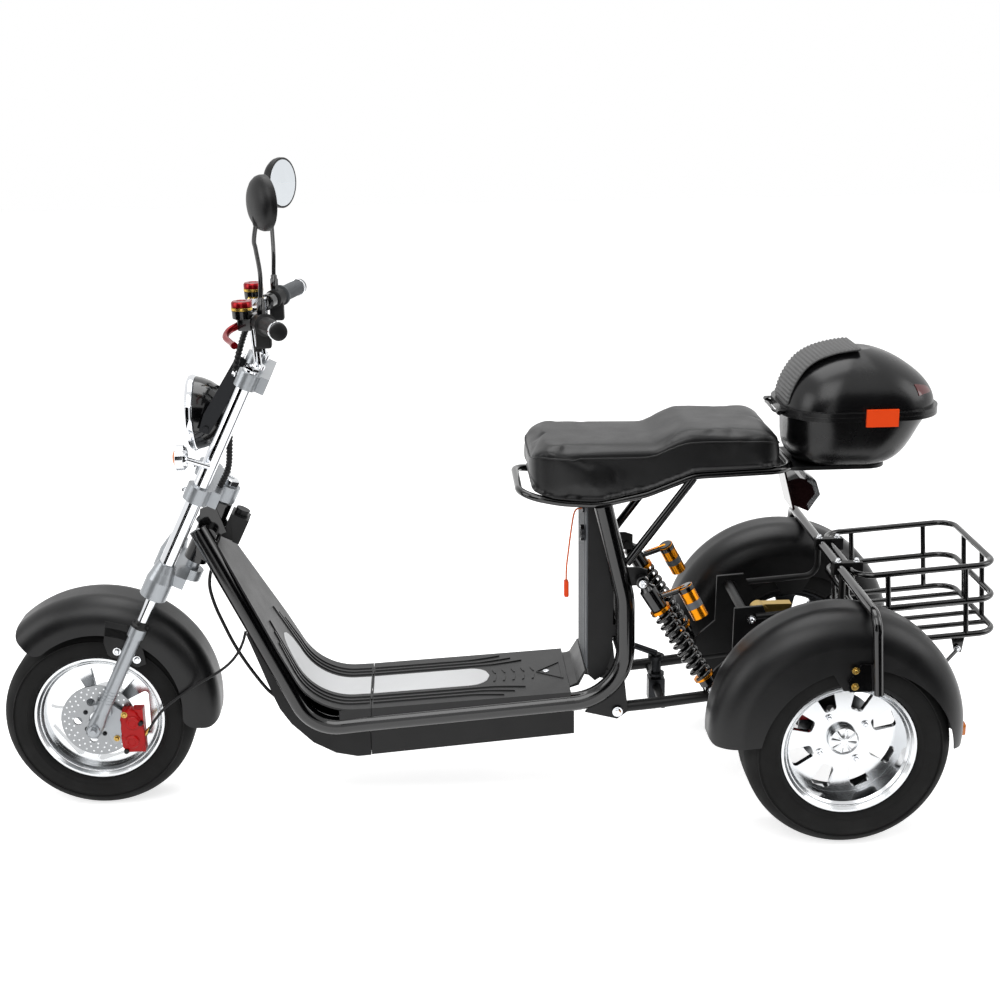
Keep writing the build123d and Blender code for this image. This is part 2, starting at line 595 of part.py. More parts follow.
def deck():
    """Footboard in two pieces: the bent front sheet and the lockable rear lid."""
    nodes = {}
    run = FilletPolyline((1281, 0, 596), (1089, 0, 239), (DECK_SEAM_X + 0.5, 0, DECK_SEAM_Z), radius=130)
    low = FilletPolyline((1281 + 3.5, 0, 594.1), (1090.2, 0, 235), (DECK_SEAM_X + 0.5, 0, DECK_SEAM_Z - DECK_T),
                         radius=134)
    ends = Line(run @ 0, low @ 0), Line(run @ 1, low @ 1)
    face = make_face([*run.edges(), *low.edges(), *ends])
    sheet = extrude(face, DECK_HALF, dir=(0, 1, 0)) + extrude(face, DECK_HALF, dir=(0, -1, 0))
    keep = make_face(Polyline((900, -DECK_HALF, 200), (900, DECK_HALF, 200), (900, DECK_HALF, 290),
                              (900, 118, 375), (900, 75, 556), (900, 62, 600), (900, -62, 600),
                              (900, -75, 556), (900, -118, 375), (900, -DECK_HALF, 290), close=True))
    sheet = sheet & extrude(keep, 500, dir=(1, 0, 0))
    for side in (1, -1):
        skirt = side_plate([(DECK_SEAM_X + 0.5, DECK_SEAM_Z - 2), (DECK_SEAM_X + 0.5, DECK_SEAM_Z - 22),
                            (1040, 216), (1040, 238)], side * (DECK_HALF - 4), side * DECK_HALF)
        sheet = sheet + skirt
    for side in (1, -1):
        sheet = sheet + knuckle(side, 58, 69.7, KNUCKLE_R)
        sheet = sheet - knuckle(side, 69.85, 80.3, KNUCKLE_R + CLEAR)
    sheet = sheet - rod((NECK_ROD_X, -NECK_HALF, NECK_ROD_Z), (NECK_ROD_X, NECK_HALF, NECK_ROD_Z), CROSS_R + CLEAR)
    front_sheet = cut_all(sheet, fat_rails())

    front_x = DECK_SEAM_X - 0.5
    lid = side_plate([(front_x, DECK_SEAM_Z), (DECK_REAR_X, DECK_REAR_Z),
                      (DECK_REAR_X, DECK_REAR_Z - DECK_T), (front_x, DECK_SEAM_Z - DECK_T)],
                     -DECK_HALF, DECK_HALF)
    for side in (1, -1):
        lid = lid + side_plate([(front_x, DECK_SEAM_Z - DECK_T), (DECK_REAR_X, DECK_REAR_Z - DECK_T),
                                (DECK_REAR_X, DECK_REAR_Z - 20), (front_x, DECK_SEAM_Z - 20)],
                               side * (DECK_HALF - 4), side * DECK_HALF)
    for side in (1, -1):
        lid = lid + knuckle(side, 70, 80, KNUCKLE_R)
        lid = lid - knuckle(side, 57.7, 69.85, KNUCKLE_R + CLEAR)
    nodes["battery_lid"] = cut_all(lid, fat_rails())

    rise = side_plate([(DECK_REAR_X - 0.6, DECK_REAR_Z), (530, 272), (513, 300), (509, 300), (526, 266),
                       (DECK_REAR_X - 0.6, DECK_REAR_Z - DECK_T)], -92, 92)
    nodes["footboard"] = [front_sheet, cut_all(rise, fat_rails())]
    return nodes


def battery():
    """Open tray under the footboard with the battery block in it."""
    nodes = {}
    outline = [(976, 118), (976, 182), (536, 214), (536, 152)]
    tray = side_plate(outline, -90, 90)
    inner = side_plate([(973, 121), (973, 190), (539, 222), (539, 155)], -87, 87)
    tray = tray - inner
    for x, z in ((920, 186), (780, 197), (650, 206)):
        for side in (1, -1):
            tray = tray + block(x - 12, x + 12, side * 87, side * INSIDE_RAILS, z - 10, z + 22)
    nodes["battery_tray"] = cut_all(tray, fat_rails())
    pack = side_plate([(960, 123), (960, 178), (552, 208), (552, 154)], -80, 80)
    nodes["battery_pack"] = pack
    return nodes


def seat_box():
    """Controller box between the rails under the seat, with its ribbed front panel."""
    nodes = {}
    top = 681
    half = INSIDE_RAILS
    shell = side_plate([(506, top), (506, 290), (492, 276), (470, 290), (455, 340), (452, 470), (470, 560),
                        (492, top)], -half, half)
    inner = side_plate([(503, top - 3), (503, 293), (491, 281), (473, 293), (458, 341), (455, 470), (473, 560),
                        (495, top - 3)], -half + 3, half - 3)
    shell = shell - inner
    for z, x in ((390, 432), (600, 460)):
        for side in (1, -1):
            shell = shell + block(x, 500, side * (half - 3), side * half, z - 12, z + 12)
    nodes["seat_box"] = cut_all(shell, fat_rails())
    panel = block(506.3, 510, -86, 86, 302, top)
    for index in range(9):
        y = -64 + 16 * index
        panel = panel + block(510, 512, y - 3, y + 3, 306, top - 4)
    nodes["box_panel"] = panel
    lock = rod((512.3, 60, 654), (516, 60, 654), 9)
    socket = rod((512.3, 60, 600), (520, 60, 600), 17) - rod((516, 60, 600), (521, 60, 600), 12)
    nodes["lock_and_socket"] = [lock, socket]
    return nodes


SEAT_TUBE_R = 8.0
STRUT_R = 9.0
SEAT_REAR_X = 85.0             # cross bar at the back of the seat loop
SEAT_REAR_Z = 742.0
SEAT_CROSS = ((560, 683), (430, 690), (300, 731))


def seat_loop(radius):
    """Closed loop of tube that the seat lies on, as two mirrored halves."""
    y = SEAT_RAIL_Y
    points = [(SEAT_REAR_X, 0, SEAT_REAR_Z), (SEAT_REAR_X, y, SEAT_REAR_Z), (291, y, 735), (389, y, 698),
              (488, y, 678), (565, y, 684), (650, y, 703), (650, 0, 703)]
    half = bent(points, [45, 120, 160, 200, 300, 50], radius)
    return half + mirrored(half)


def seat():
    """Seat loop with its struts, and the padded seat."""
    nodes = {}
    loop = seat_loop(SEAT_TUBE_R)
    for side in (1, -1):
        loop = loop + rod((291, side * SEAT_RAIL_Y, 730), (428, side * SEAT_RAIL_Y, 548), STRUT_R)
    for x, z in SEAT_CROSS:
        loop = loop + rod((x, -SEAT_RAIL_Y, z), (x, SEAT_RAIL_Y, z), SEAT_TUBE_R - 1)
    nodes["seat_frame"] = cut_all(loop, fat_rails())
    outline = [(638, 765), (636, 735), (622, 704), (565, 690), (489, 684), (389, 705), (291, 741), (131, 747),
               (106, 752), (101, 778), (109, 812), (132, 824), (300, 827), (330, 817), (372, 797),
               (600, 800), (628, 790)]
    cushion = side_plate(outline, -SEAT_HALF, SEAT_HALF)
    cushion = fillet(cushion.edges().filter_by(Axis.Y, reverse=True), 12)
    plan = Rectangle(637, 2 * SEAT_HALF, align=(Align.MIN, Align.CENTER))
    front = fillet(plan.vertices().sort_by(Axis.X)[-2:], 66)
    rear = Pos(101, 0, 0) * RectangleRounded(2 * 400, 2 * SEAT_HALF, 40, align=(Align.MIN, Align.CENTER))
    cushion = cushion & extrude(Pos(0, 0, 600) * front, 300)
    cushion = cushion & extrude(Pos(0, 0, 600) * rear, 300)
    cutters = [rod((x, -SEAT_RAIL_Y, z), (x, SEAT_RAIL_Y, z), SEAT_TUBE_R - 1 + CLEAR) for x, z in SEAT_CROSS]
    nodes["seat_cushion"] = cut_all(cushion, cutters + [seat_loop(SEAT_TUBE_R + CLEAR)])
    return nodes


CARRIER_TOP = 738.0            # plate that the top case stands on
CARRIER_T = 8.0
CASE_X = -65.0                 # middle of the top case
CASE_LEN = 314.0
HINGE_X = 107.0                # case lid hinge pin, and its height
HINGE_Z = 851.0


# top case sections: height, middle, length, width, corner radius, and the way the inner side is moved
BOWL_LEVELS = ((738.3, -38, 176, 170, 62, 1), (752, -41, 226, 214, 84, 0), (790, -50, 262, 244, 92, 0),
               (CASE_SEAM_Z - CLEAR, CASE_X, CASE_LEN, 258, 96, 1))
LID_LEVELS = ((CASE_SEAM_Z, CASE_X, CASE_LEN, 258, 96, -1), (900, -66, 292, 244, 96, 0),
              (938, -60, 226, 196, 84, 0), (962, -58, 142, 132, 58, 0), (973, -60, 70, 64, 28, -1))


def case_shell(levels, inset):
    """Loft of the case's levels, drawn in by `inset` all round."""
    faces = []
    for z, x, length, width, corner, lift in levels:
        plane = Plane(origin=(x, 0, z + lift * inset))
        faces.append(plane * RectangleRounded(length - 2 * inset, width - 2 * inset, corner - inset))
    return loft(faces)


def case_band(low, height):
    """Solid slab of the case's thick seam band."""
    plane = Plane(origin=(CASE_X, 0, low))
    return extrude(plane * RectangleRounded(CASE_LEN + 16, 2 * CASE_HALF, 98), height)


def top_case():
    """Hinged top case: carrier, bowl, lid, back pad, side catches and hinge knuckles."""
    nodes = {}
    plate = Pos(-8, 0, CARRIER_TOP - CARRIER_T) * RectangleRounded(232, 170, 45)
    rear_bar = rod((SEAT_REAR_X, -SEAT_RAIL_Y, SEAT_REAR_Z), (SEAT_REAR_X, SEAT_RAIL_Y, SEAT_REAR_Z),
                   SEAT_TUBE_R + CLEAR)
    carrier = extrude(plate, CARRIER_T) - rear_bar
    nodes["case_carrier"] = carrier
    bowl = case_shell(BOWL_LEVELS, 0) + case_band(CASE_SEAM_Z - 9, 9 - CLEAR) - case_shell(BOWL_LEVELS, CASE_WALL)
    for side in (1, -1):
        bowl = bowl + block(99, HINGE_X, side * 52, side * 60, HINGE_Z - 5, HINGE_Z + 1)
        bowl = bowl + rod((HINGE_X, side * 52, HINGE_Z), (HINGE_X, side * 60, HINGE_Z), 5)
        bowl = bowl + rod((HINGE_X, side * 60, HINGE_Z), (HINGE_X, side * 70, HINGE_Z), 2.5)
    nodes["case_bowl"] = bowl
    lid = case_shell(LID_LEVELS, 0) + case_band(CASE_SEAM_Z, 9) - case_shell(LID_LEVELS, CASE_WALL)
    for side in (1, -1):
        knuckle = rod((HINGE_X, side * (60 + CLEAR), HINGE_Z), (HINGE_X, side * 70, HINGE_Z), 5)
        knuckle = knuckle + block(88, HINGE_X, side * (60 + CLEAR), side * 70, HINGE_Z + 2, HINGE_Z + 5)
        lid = lid + (knuckle - rod((HINGE_X, side * 50, HINGE_Z), (HINGE_X, side * 80, HINGE_Z), 2.5 + CLEAR))
    nodes["case_lid"] = lid
    pad = side_plate([(95, 866), (80, 908), (50, 955), (2, 978), (-64, 985), (-64, 960), (0, 950), (36, 930),
                      (66, 880), (80, 866)], -62, 62)
    nodes["case_pad"] = pad - case_shell(LID_LEVELS, -CLEAR)
    catches = []
    for side in (1, -1):
        catch = block(-123, -57, side * (CASE_HALF + CLEAR), side * (CASE_HALF + 7), 834, 870)
        catches.append(catch - block(-130, -50, side * CASE_HALF, side * (CASE_HALF + 2 * CLEAR + 0.4), 852, 880))
    nodes["case_catches"] = catches
    return nodes


def basket(radius=BASKET_TUBE_R):
    """Wire basket: three hoops, uprights and floor bars, one welded piece."""
    length = BASKET_LEN
    wide = 2 * BASKET_HALF
    body = None
    for index in range(3):
        z = -index * BASKET_STEP
        outline = RectangleRounded(length, wide, 40)
        path = Pos(0, 0, z) * outline.wire()
        section = Plane(origin=path @ 0, z_dir=path % 0) * Circle(radius)
        loop = sweep(section, path=path)
        body = loop if body is None else body + loop
    bottom = -2 * BASKET_STEP
    spots = [(length * share, side * BASKET_HALF) for share in (-0.28, 0.28) for side in (1, -1)]
    spots = spots + [(-length / 2, y) for y in (-60, 60)] + [(length / 2, y) for y in (-60, 60)]
    for x, y in spots:
        body = body + rod((x, y, 0), (x, y, bottom), radius - 1)
    for y in (-90, -30, 30, 90):
        body = body + rod((-length / 2, y, bottom), (length / 2, y, bottom), radius - 1)
    return Pos(BASKET_MID_X, 0, BASKET_TOP_Z) * Rot(0, BASKET_TILT, 0) * body


def hoop(radius):
    """Tube over both rear mudguards that carries them and the basket."""
    points = [(-43, HOOP_Y, 348), (HOOP_X, HOOP_Y, HOOP_Z), (HOOP_X, -HOOP_Y, HOOP_Z), (-43, -HOOP_Y, 348)]
    return bent(points, [34, 34], radius)


PIVOT_R = 6.0
SWING_IN = 100.0               # inner face of the swing frame's side plates
COVER_GAP = 4.5                # room between the motor's cable cover and the side plate beside it
SHOCK_TOP = (398, 514)


def rear_gussets():
    """Paired plates welded to each rail's rear bend, with the pivot bolt of the lower arm."""
    solids = []
    outline = [(431, 285), (424, 217), (447, 200), (516, 218), (500, 244), (462, 272)]
    for side in (1, -1):
        outer = side_plate(outline, side * 123, side * 128)
        inner = side_plate(outline, side * 92, side * 97)
        bolt = rod((447, side * 86, 219), (447, side * 134, 219), PIVOT_R)
        solids.append(cut_all(outer + inner + bolt, fat_rails()))
        x, z = SHOCK_TOP
        hanger = side_plate([(385, 500), (385, 534), (402, 540), (432, 540), (432, 500)], side * 118, side * 123)
        hanger = hanger + rod((x, side * 114, z), (x, side * 154, z), PIVOT_R)
        strut = rod((291, side * SEAT_RAIL_Y, 730), (428, side * SEAT_RAIL_Y, 548), STRUT_R + CLEAR)
        solids.append(cut_all(hanger, fat_rails() + [strut]))
    return solids


def rear_fittings():
    """Lamp, clamps, calipers and covers at the back."""
    nodes = {}
    sheet = side_plate([(89.8, 729.7), (85.8, 729.7), (60, 634), (64, 630)], -45, 45)
    sheet = sheet - rod((SEAT_REAR_X, -60, SEAT_REAR_Z), (SEAT_REAR_X, 60, SEAT_REAR_Z), SEAT_TUBE_R + CLEAR)
    lamp = side_plate([(61.2, 640), (75.6, 694), (50, 700), (14, 690), (5, 662), (30, 626)], -36, 36)
    crown_x = GUARD_X - GUARD_R
    reflector = block(crown_x - 9, crown_x - CLEAR, TRACK_HALF - 18, TRACK_HALF + 18, 214, 242)
    reflector = fillet(reflector.edges().filter_by(Axis.X), 8)
    nodes["rear_lamp"] = [lamp, sheet] + both(reflector)
    clamps = []
    for side in (1, -1):
        clamp = block(HOOP_X - 48, HOOP_X + 14, side * 74, side * 92, HOOP_Z - 13, HOOP_Z + 13)
        clamps.append(clamp)
    cover = rod((138, 64, 420), (138, SWING_IN - COVER_GAP, 420), 18) + block(70, 138, 66, 90, 405, 437)
    nodes["zinc_fittings"] = [cover] + [clamp - hoop(HOOP_R + CLEAR) - basket(BASKET_TUBE_R + CLEAR) for clamp in clamps]
    calipers = []
    for side in (1, -1):
        body = block(50, 84, side * 212, side * 250, 240, 290)
        disc_in = TRACK_HALF + REAR_HUB_IN - CLEAR - DISC_T - 1.5
        slot = rod((0, side * disc_in, REAR_TYRE_R), (0, side * (disc_in + DISC_T + 3), REAR_TYRE_R), DISC_R + 3)
        ear = side_plate([(10, 222), (10, 240), (50, 262), (56, 240), (30, 214)], side * 212, side * 220)
        whole = body - slot + ear
        calipers.append(whole - rod((0, -240, REAR_TYRE_R), (0, 240, REAR_TYRE_R), 28 + CLEAR))
    nodes["rear_calipers"] = calipers
    unit = rod((346, 0, 206), (346, 0, 296), 11) + block(328, 364, -18, 18, 190, 240)
    unit = unit + rod((346, 0, 246), (346, 0, 252), 18) + rod((346, 0, 284), (346, 0, 292), 18)
    unit = unit + rod((346, 0, 296), (430, 0, 330), 7)
    unit = unit - rod((346, -50, 222), (346, 50, 222), 9 + CLEAR)
    nodes["spring_unit"] = unit - rod((430, -50, 330), (430, 50, 330), CROSS_R + CLEAR)
    return nodes


def horn():
    """Horn box behind the head tube."""
    turn = Pos(1248, 0, 618) * Rot(0, -RAKE, 0)
    box = turn * Box(40, 54, 56) + turn * Pos(0, 0, 34) * Cylinder(15, 14)
    cutters = [rod((1300, -NECK_HALF, 612), (1300, NECK_HALF, 612), 16 + CLEAR),
               rod((1288, -NECK_HALF, 576), (1288, NECK_HALF, 576), 12 + CLEAR),
               rod(steer(0, 0, NECK_LOW), steer(0, 0, NECK_HIGH), HEAD_R + CLEAR)]
    for side in (1, -1):
        cutters.append(block(1255, 1340, side * (22 - CLEAR), side * (27 + CLEAR), 530, 690))
    return max(cut_all(box, cutters).solids(), key=lambda solid: solid.volume)


def strap():
    """Key strap hanging from the seat lock, and its fob."""
    nodes = {}
    route = [(516.3, 60, 654), (524, 60, 654), (530.5, 60, 649.5), (534, 60, 640), (537, 60, 622),
             (541.5, 60, 590), (546, 60, 552), (550, 60, 520), (550, 60, 494)]
    radii = cord_radii(route)
    print("key strap radii", [round(r, 1) for r in radii])
    nodes["key_strap"] = bent(route, radii, STRAP_R)
    nodes["key_fob"] = fillet(block(545, 555, 51, 69, 458, 494).edges(), 3)
    return nodes


STRAP_R = 1.75
HOSE_R = 3.0
CONDUIT_R = 7.0


def lines():
    """Held cables: the bar's conduit to the yoke, the conduit under the neck and the front brake hose."""
    upper = [(1192, 32, 1058.5), (1205, 36, 1030), (1220, 42, 982), (1234, 48, 920), (1241, 52, 860),
             (1245, 50, 805), (1251, 46, 757.5), (1270.4, 44, 717.4)]
    lower = [(1290, 36, 563.4), (1297, 36, 545), (1305, 36, 520), (1307, 36, 490), (1298, 36, 450),
             (1283, 36, 409), (1267, 36, 370), (1249, 36, 334), (1226, 36, 295), (1200, 36, 257),
             (1180, 36, 236)]
    hose = [(1460.4, 72, 173), (1451, 73, 188), (1438, 76, 209), (1416, 80, 236), (1381, 87, 266),
            (1338, 91, 296), (1301, 92, 317), (1270, 92, 340), (1250, 92, 364), (1238, 91, 388),
            (1231, 90, 411)]
    nodes = {}
    for name, route, radius in (("conduit_upper", upper, CONDUIT_R), ("conduit_lower", lower, CONDUIT_R),
                                ("brake_hose", hose, HOSE_R)):
        radii = cord_radii(route)
        print(name, "radii", [round(r, 1) for r in radii])
        nodes[name] = bent(route, radii, radius)
    for name in ("brake_hose", "conduit_lower"):
        whole = cut_all(nodes[name], fat_rails())
        nodes[name] = max(whole.solids(), key=lambda solid: solid.volume)
    return nodes


def cord_radii(points):
    """Largest bend that the runs beside each inner point allow."""
    radii = []
    for before, here, after in zip(points, points[1:], points[2:]):
        one = Vector(*here) - Vector(*before)
        two = Vector(*after) - Vector(*here)
        turn = math.radians(one.get_angle(two))
        radii.append(0.45 * min(one.length, two.length) / math.tan(turn / 2))
    return radii


def rear_end():
    """Swing frame, axle, mudguards, shocks and brakes."""
    nodes = {}
    guard = arch(GUARD_X, GUARD_Z, GUARD_R, GUARD_HALF, 130, 66, -5, 189)
    shape = sector(GUARD_X, GUARD_Z, GUARD_R - 129, GUARD_R + 1, -4, 188, 12)
    guard = guard & (extrude(shape, 90, dir=(0, 1, 0)) + extrude(shape, 90, dir=(0, -1, 0)))
    guard = guard - rod((LIP_X, -100, LIP_Z), (LIP_X, 100, LIP_Z), GUARD_LIP_R)
    guard = Pos(0, TRACK_HALF, 0) * guard
    for y0, y1 in ((TRACK_HALF + GUARD_HALF - FENDER_T, TRACK_HALF + GUARD_HALF),
                   (TRACK_HALF - GUARD_HALF + FENDER_T, TRACK_HALF - GUARD_HALF)):
        guard = guard + side_plate([(54, 402), (24, 352), (-20, 352), (-50, 402), (-50, 420), (54, 420)], y0, y1)
    nodes["rear_fenders"] = both(guard)
    whole_hoop = hoop(HOOP_R)
    for side in (1, -1):
        face_y = TRACK_HALF + GUARD_HALF + CLEAR
        whole_hoop = whole_hoop + side_plate([(-44, 352), (14, 352), (18, 372), (-6, 410), (-40, 410)],
                                             side * face_y, side * (HOOP_Y - HOOP_R + 3))
    nodes["fender_hoop"] = whole_hoop
    fat_hoop = hoop(HOOP_R + CLEAR)
    swing = None
    for side in (1, -1):
        arm = bent([(447, side * 110, 219), (363, side * 110, 226), (150, side * 110, 250)], [90], 12)
        eye = rod((447, side * 98, 219), (447, side * 122, 219), 16)
        plate = side_plate([(250, 226), (262, 262), (232, 300), (198, 330), (196, 436), (136, 440),
                            (96, 360), (40, 270), (-40, 232), (-40, 190), (60, 176), (200, 212)],
                           side * SWING_IN, side * (SWING_IN + 8))
        bar = bent([(150, side * (SWING_IN + 8), 417), (HOOP_X, side * (SWING_IN + 8), 430),
                    (HOOP_X, side * (SWING_IN + 8), HOOP_Z - 4)], [30], 7)
        bar = bar + rod((161, side * (SWING_IN - 4), 414), (161, side * (SWING_IN + 18), 414), 9)
        part = arm + eye + plate + bar
        swing = part if swing is None else swing + part
    swing = swing + rod((250, -168, 276), (250, 168, 276), 8)
    swing = swing + rod((170, -104, 416), (170, 104, 416), 10)
    swing = swing + rod((346, -110, 222), (346, 110, 222), 9)
    swing = swing - fat_hoop - rod((447, -150, 219), (447, 150, 219), PIVOT_R + CLEAR)
    housing_half = 224.0
    axle_cut = rod((0, -housing_half, REAR_TYRE_R), (0, housing_half, REAR_TYRE_R), 28 + CLEAR)
    nodes["swing_frame"] = swing - axle_cut
    housing = rod((0, -housing_half, REAR_TYRE_R), (0, housing_half, REAR_TYRE_R), 28)
    housing = housing + rod((0, -96, REAR_TYRE_R), (0, 96, REAR_TYRE_R), 74)
    stub_end = TRACK_HALF - 6
    housing = housing + rod((0, -stub_end, REAR_TYRE_R), (0, stub_end, REAR_TYRE_R), STUB_R)
    nodes["axle_housing"] = housing

    low = Vector(250, 150, 276)
    high = Vector(SHOCK_TOP[0], 136, SHOCK_TOP[1])
    axis = (high - low).normalized()
    profile = [(0, 12), (9, 12), (9, 44)]
    for index in range(9):
        at = 44 + 19 * index
        profile = profile + [(15, at + 3), (22, at + 8), (22, at + 11), (15, at + 16)]
    length = (high - low).length
    profile = profile + [(19, length - 62), (19, length - 20), (9, length - 20), (9, length - 8), (0, length - 8)]
    outline = make_face(Polyline(*[(r, 0, h) for r, h in profile], close=True))
    shock = Plane(origin=low, z_dir=axis) * revolve(outline, Axis.Z)
    shock = shock + rod((250, 138, 276), (250, 162, 276), 14) + rod((398, 124, 514), (398, 148, 514), 12)
    shock = shock - rod((250, -200, 276), (250, 200, 276), 8 + CLEAR)
    shock = shock - rod((398, -200, 514), (398, 200, 514), 6 + CLEAR)
    shocks = [shock, mirrored(shock)]
    top = Vector(309, 138, 501)
    bottom = Vector(275, 150, 436)
    can = rod(bottom, top, 17)
    arm = rod(top + (top - bottom).normalized() * -4, high - axis * 40 + Vector(-19, 0, 0), 7)
    pot = (can + arm) - rod(high - axis * 60, high, 19 + CLEAR)
    pots = [pot, mirrored(pot)]
    nodes["shocks"] = shocks
    nodes["shock_reservoirs"] = pots
    return nodes


def build():
    """Every node as a list of solids, in axle coordinates."""
    nodes = {}
    nodes.update(front_wheel())
    left = rear_wheel()
    for name, solid in left.items():
        nodes[name + "_left"] = solid
        nodes[name + "_right"] = mirrored(solid)
    nodes.update(fork())
    nodes.update(front_end())
    nodes.update(handlebar())
    nodes.update(frame())
    fat_cross = [rod((x, -RAIL_Y, z), (x, RAIL_Y, z), CROSS_R + CLEAR) for x, z in CROSS_TUBES]
    nodes["belly_pan"] = cut_all(belly(), fat_rails() + fat_cross)
    nodes.update(deck())
    nodes.update(battery())
    nodes.update(seat_box())
    nodes.update(seat())
    nodes.update(top_case())
    nodes["basket"] = basket()
    nodes.update(rear_end())
    nodes["rear_gussets"] = rear_gussets()
    nodes.update(rear_fittings())
    nodes["horn_box"] = horn()
    nodes.update(strap())
    nodes.update(lines())
    return nodes


def main():
    """Write one STEP file for each node."""
    os.makedirs("parts", exist_ok=True)
    shift = Pos(-ORIGIN_X, 0, 0)
    for name, item in build().items():
        solids = item if isinstance(item, list) else [item]
        pieces = [shift * piece for solid in solids for piece in solid.solids()]
        shape = pieces[0] if len(pieces) == 1 else Compound(children=pieces)
        export_step(shape, f"parts/{name}.step")
        print(name, len(pieces), round(sum(p.volume for p in pieces) / 1000, 1), "cm3")


main()
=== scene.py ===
"""Looks of the electric tricycle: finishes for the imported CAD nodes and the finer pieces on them.

Places are in millimetres from the rear axle line on the floor (x forward, y to the rider's left,
z up). Trike.at() turns them into the row frame's metres.
"""

import json
import logging
import math
from collections.abc import Callable
from dataclasses import dataclass
from enum import Enum

import bmesh
import bpy
from mathutils import Matrix, Vector
from mathutils.bvhtree import BVHTree

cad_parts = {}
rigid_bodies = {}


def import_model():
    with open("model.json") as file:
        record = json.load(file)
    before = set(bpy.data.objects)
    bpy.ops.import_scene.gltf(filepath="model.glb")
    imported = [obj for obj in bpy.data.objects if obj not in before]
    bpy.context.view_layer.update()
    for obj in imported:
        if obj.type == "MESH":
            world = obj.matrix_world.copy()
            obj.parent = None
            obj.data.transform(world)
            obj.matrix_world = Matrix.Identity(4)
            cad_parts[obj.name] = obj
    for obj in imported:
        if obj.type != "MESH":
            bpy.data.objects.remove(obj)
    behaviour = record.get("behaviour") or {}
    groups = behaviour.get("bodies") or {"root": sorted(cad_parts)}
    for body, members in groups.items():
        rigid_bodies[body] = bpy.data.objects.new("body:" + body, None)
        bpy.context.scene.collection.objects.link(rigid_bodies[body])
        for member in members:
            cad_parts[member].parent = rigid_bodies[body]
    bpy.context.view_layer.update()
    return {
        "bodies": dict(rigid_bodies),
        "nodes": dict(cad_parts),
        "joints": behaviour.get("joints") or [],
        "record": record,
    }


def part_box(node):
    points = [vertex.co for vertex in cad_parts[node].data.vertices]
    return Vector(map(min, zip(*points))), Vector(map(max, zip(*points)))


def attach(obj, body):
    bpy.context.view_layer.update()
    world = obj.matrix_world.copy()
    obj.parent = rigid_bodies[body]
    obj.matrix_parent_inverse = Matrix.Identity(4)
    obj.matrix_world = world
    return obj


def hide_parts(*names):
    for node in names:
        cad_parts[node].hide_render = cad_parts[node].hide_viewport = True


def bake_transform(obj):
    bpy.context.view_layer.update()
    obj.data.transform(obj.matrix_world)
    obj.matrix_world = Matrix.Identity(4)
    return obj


LOG = logging.getLogger("tricycle")
MM = 0.001
SIDES = ((1, "left"), (-1, "right"))
CREASE = 38.0                  # degrees; edges sharper than this stay sharp
X, Y, Z = (1, 0, 0), (0, 1, 0), (0, 0, 1)
CAMERA_FOCAL = 57.9            # mm on a 36 mm wide sensor
CAMERA_AT = (832.9, 3285.3, 1638.4)
CAMERA_PITCH = 16.594          # degrees below the horizon
CAMERA_YAW = 2.561
CAMERA_ROLL = -0.827


# ---------------------------------------------------------------- frame
class Trike:
    """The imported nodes, and the one place where millimetres become the row frame."""

    def __init__(self, frame: dict) -> None:
        """Reads the nodes and where the rear axle is.
        """
        self.nodes = frame["nodes"]
        low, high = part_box("rear_tyre_left")
        self.rear_axle = Vector(((low.x + high.x) / 2, 0.0, (low.z + high.z) / 2))

    def at(self, x: float, y: float, z: float) -> Vector:
        """Place in the row frame, in metres, of a place in millimetres."""
        return Vector((self.rear_axle.x + x * MM, y * MM, z * MM))


# ---------------------------------------------------------------- shader helpers
def linear(code: str) -> tuple:
    """Colour for a shader socket.

    Args:
        code: sRGB as six hex digits.

    Returns:
        Linear red, green, blue and full alpha.
    """
    values = [int(code[i:i + 2], 16) / 255 for i in (0, 2, 4)]
    curved = (v / 12.92 if v <= 0.04045 else ((v + 0.055) / 1.055) ** 2.4 for v in values)
    return (*curved, 1.0)


def node(tree: bpy.types.NodeTree, kind: str, **values: object) -> bpy.types.Node:
    """Adds one node.

    Args:
        tree: the node tree.
        kind: Blender's node class.
        values: inputs by name, or attributes of the node in lower case.

    Returns:
        The new node.
    """
    made = tree.nodes.new(kind)
    for key, value in values.items():
        if key in made.inputs:
            made.inputs[key].default_value = value
        else:
            setattr(made, key, value)
    return made


def link(tree: bpy.types.NodeTree, *pairs: tuple) -> None:
    """Joins each pair's output socket to its input socket."""
    for start, end in pairs:
        tree.links.new(start, end)


def remap(tree: bpy.types.NodeTree, source: bpy.types.NodeSocket, taken: tuple,
          given: tuple) -> bpy.types.NodeSocket:
    """Stretches a range of values to another one.

    Args:
        tree: the node tree.
        source: where the values come from.
        taken: lowest and highest value that count.
        given: what these two become.

    Returns:
        The socket with the new values.
    """
    labels = ("From Min", "From Max", "To Min", "To Max")
    made = node(tree, "ShaderNodeMapRange", **dict(zip(labels, (*taken, *given))))
    link(tree, (source, made.inputs["Value"]))
    return made.outputs["Result"]


def surface(name: str, sockets: dict) -> tuple:
    """Makes a node material.

    Args:
        name: its name.
        sockets: values for the inputs of its main shader.

    Returns:
        The material, its node tree and its main shader.
    """
    material = bpy.data.materials.new(name)
    material.use_nodes = True
    tree = material.node_tree
    shader = next(n for n in tree.nodes if n.type == "BSDF_PRINCIPLED")
    for label, value in sockets.items():
        shader.inputs[label].default_value = value
    return material, tree, shader


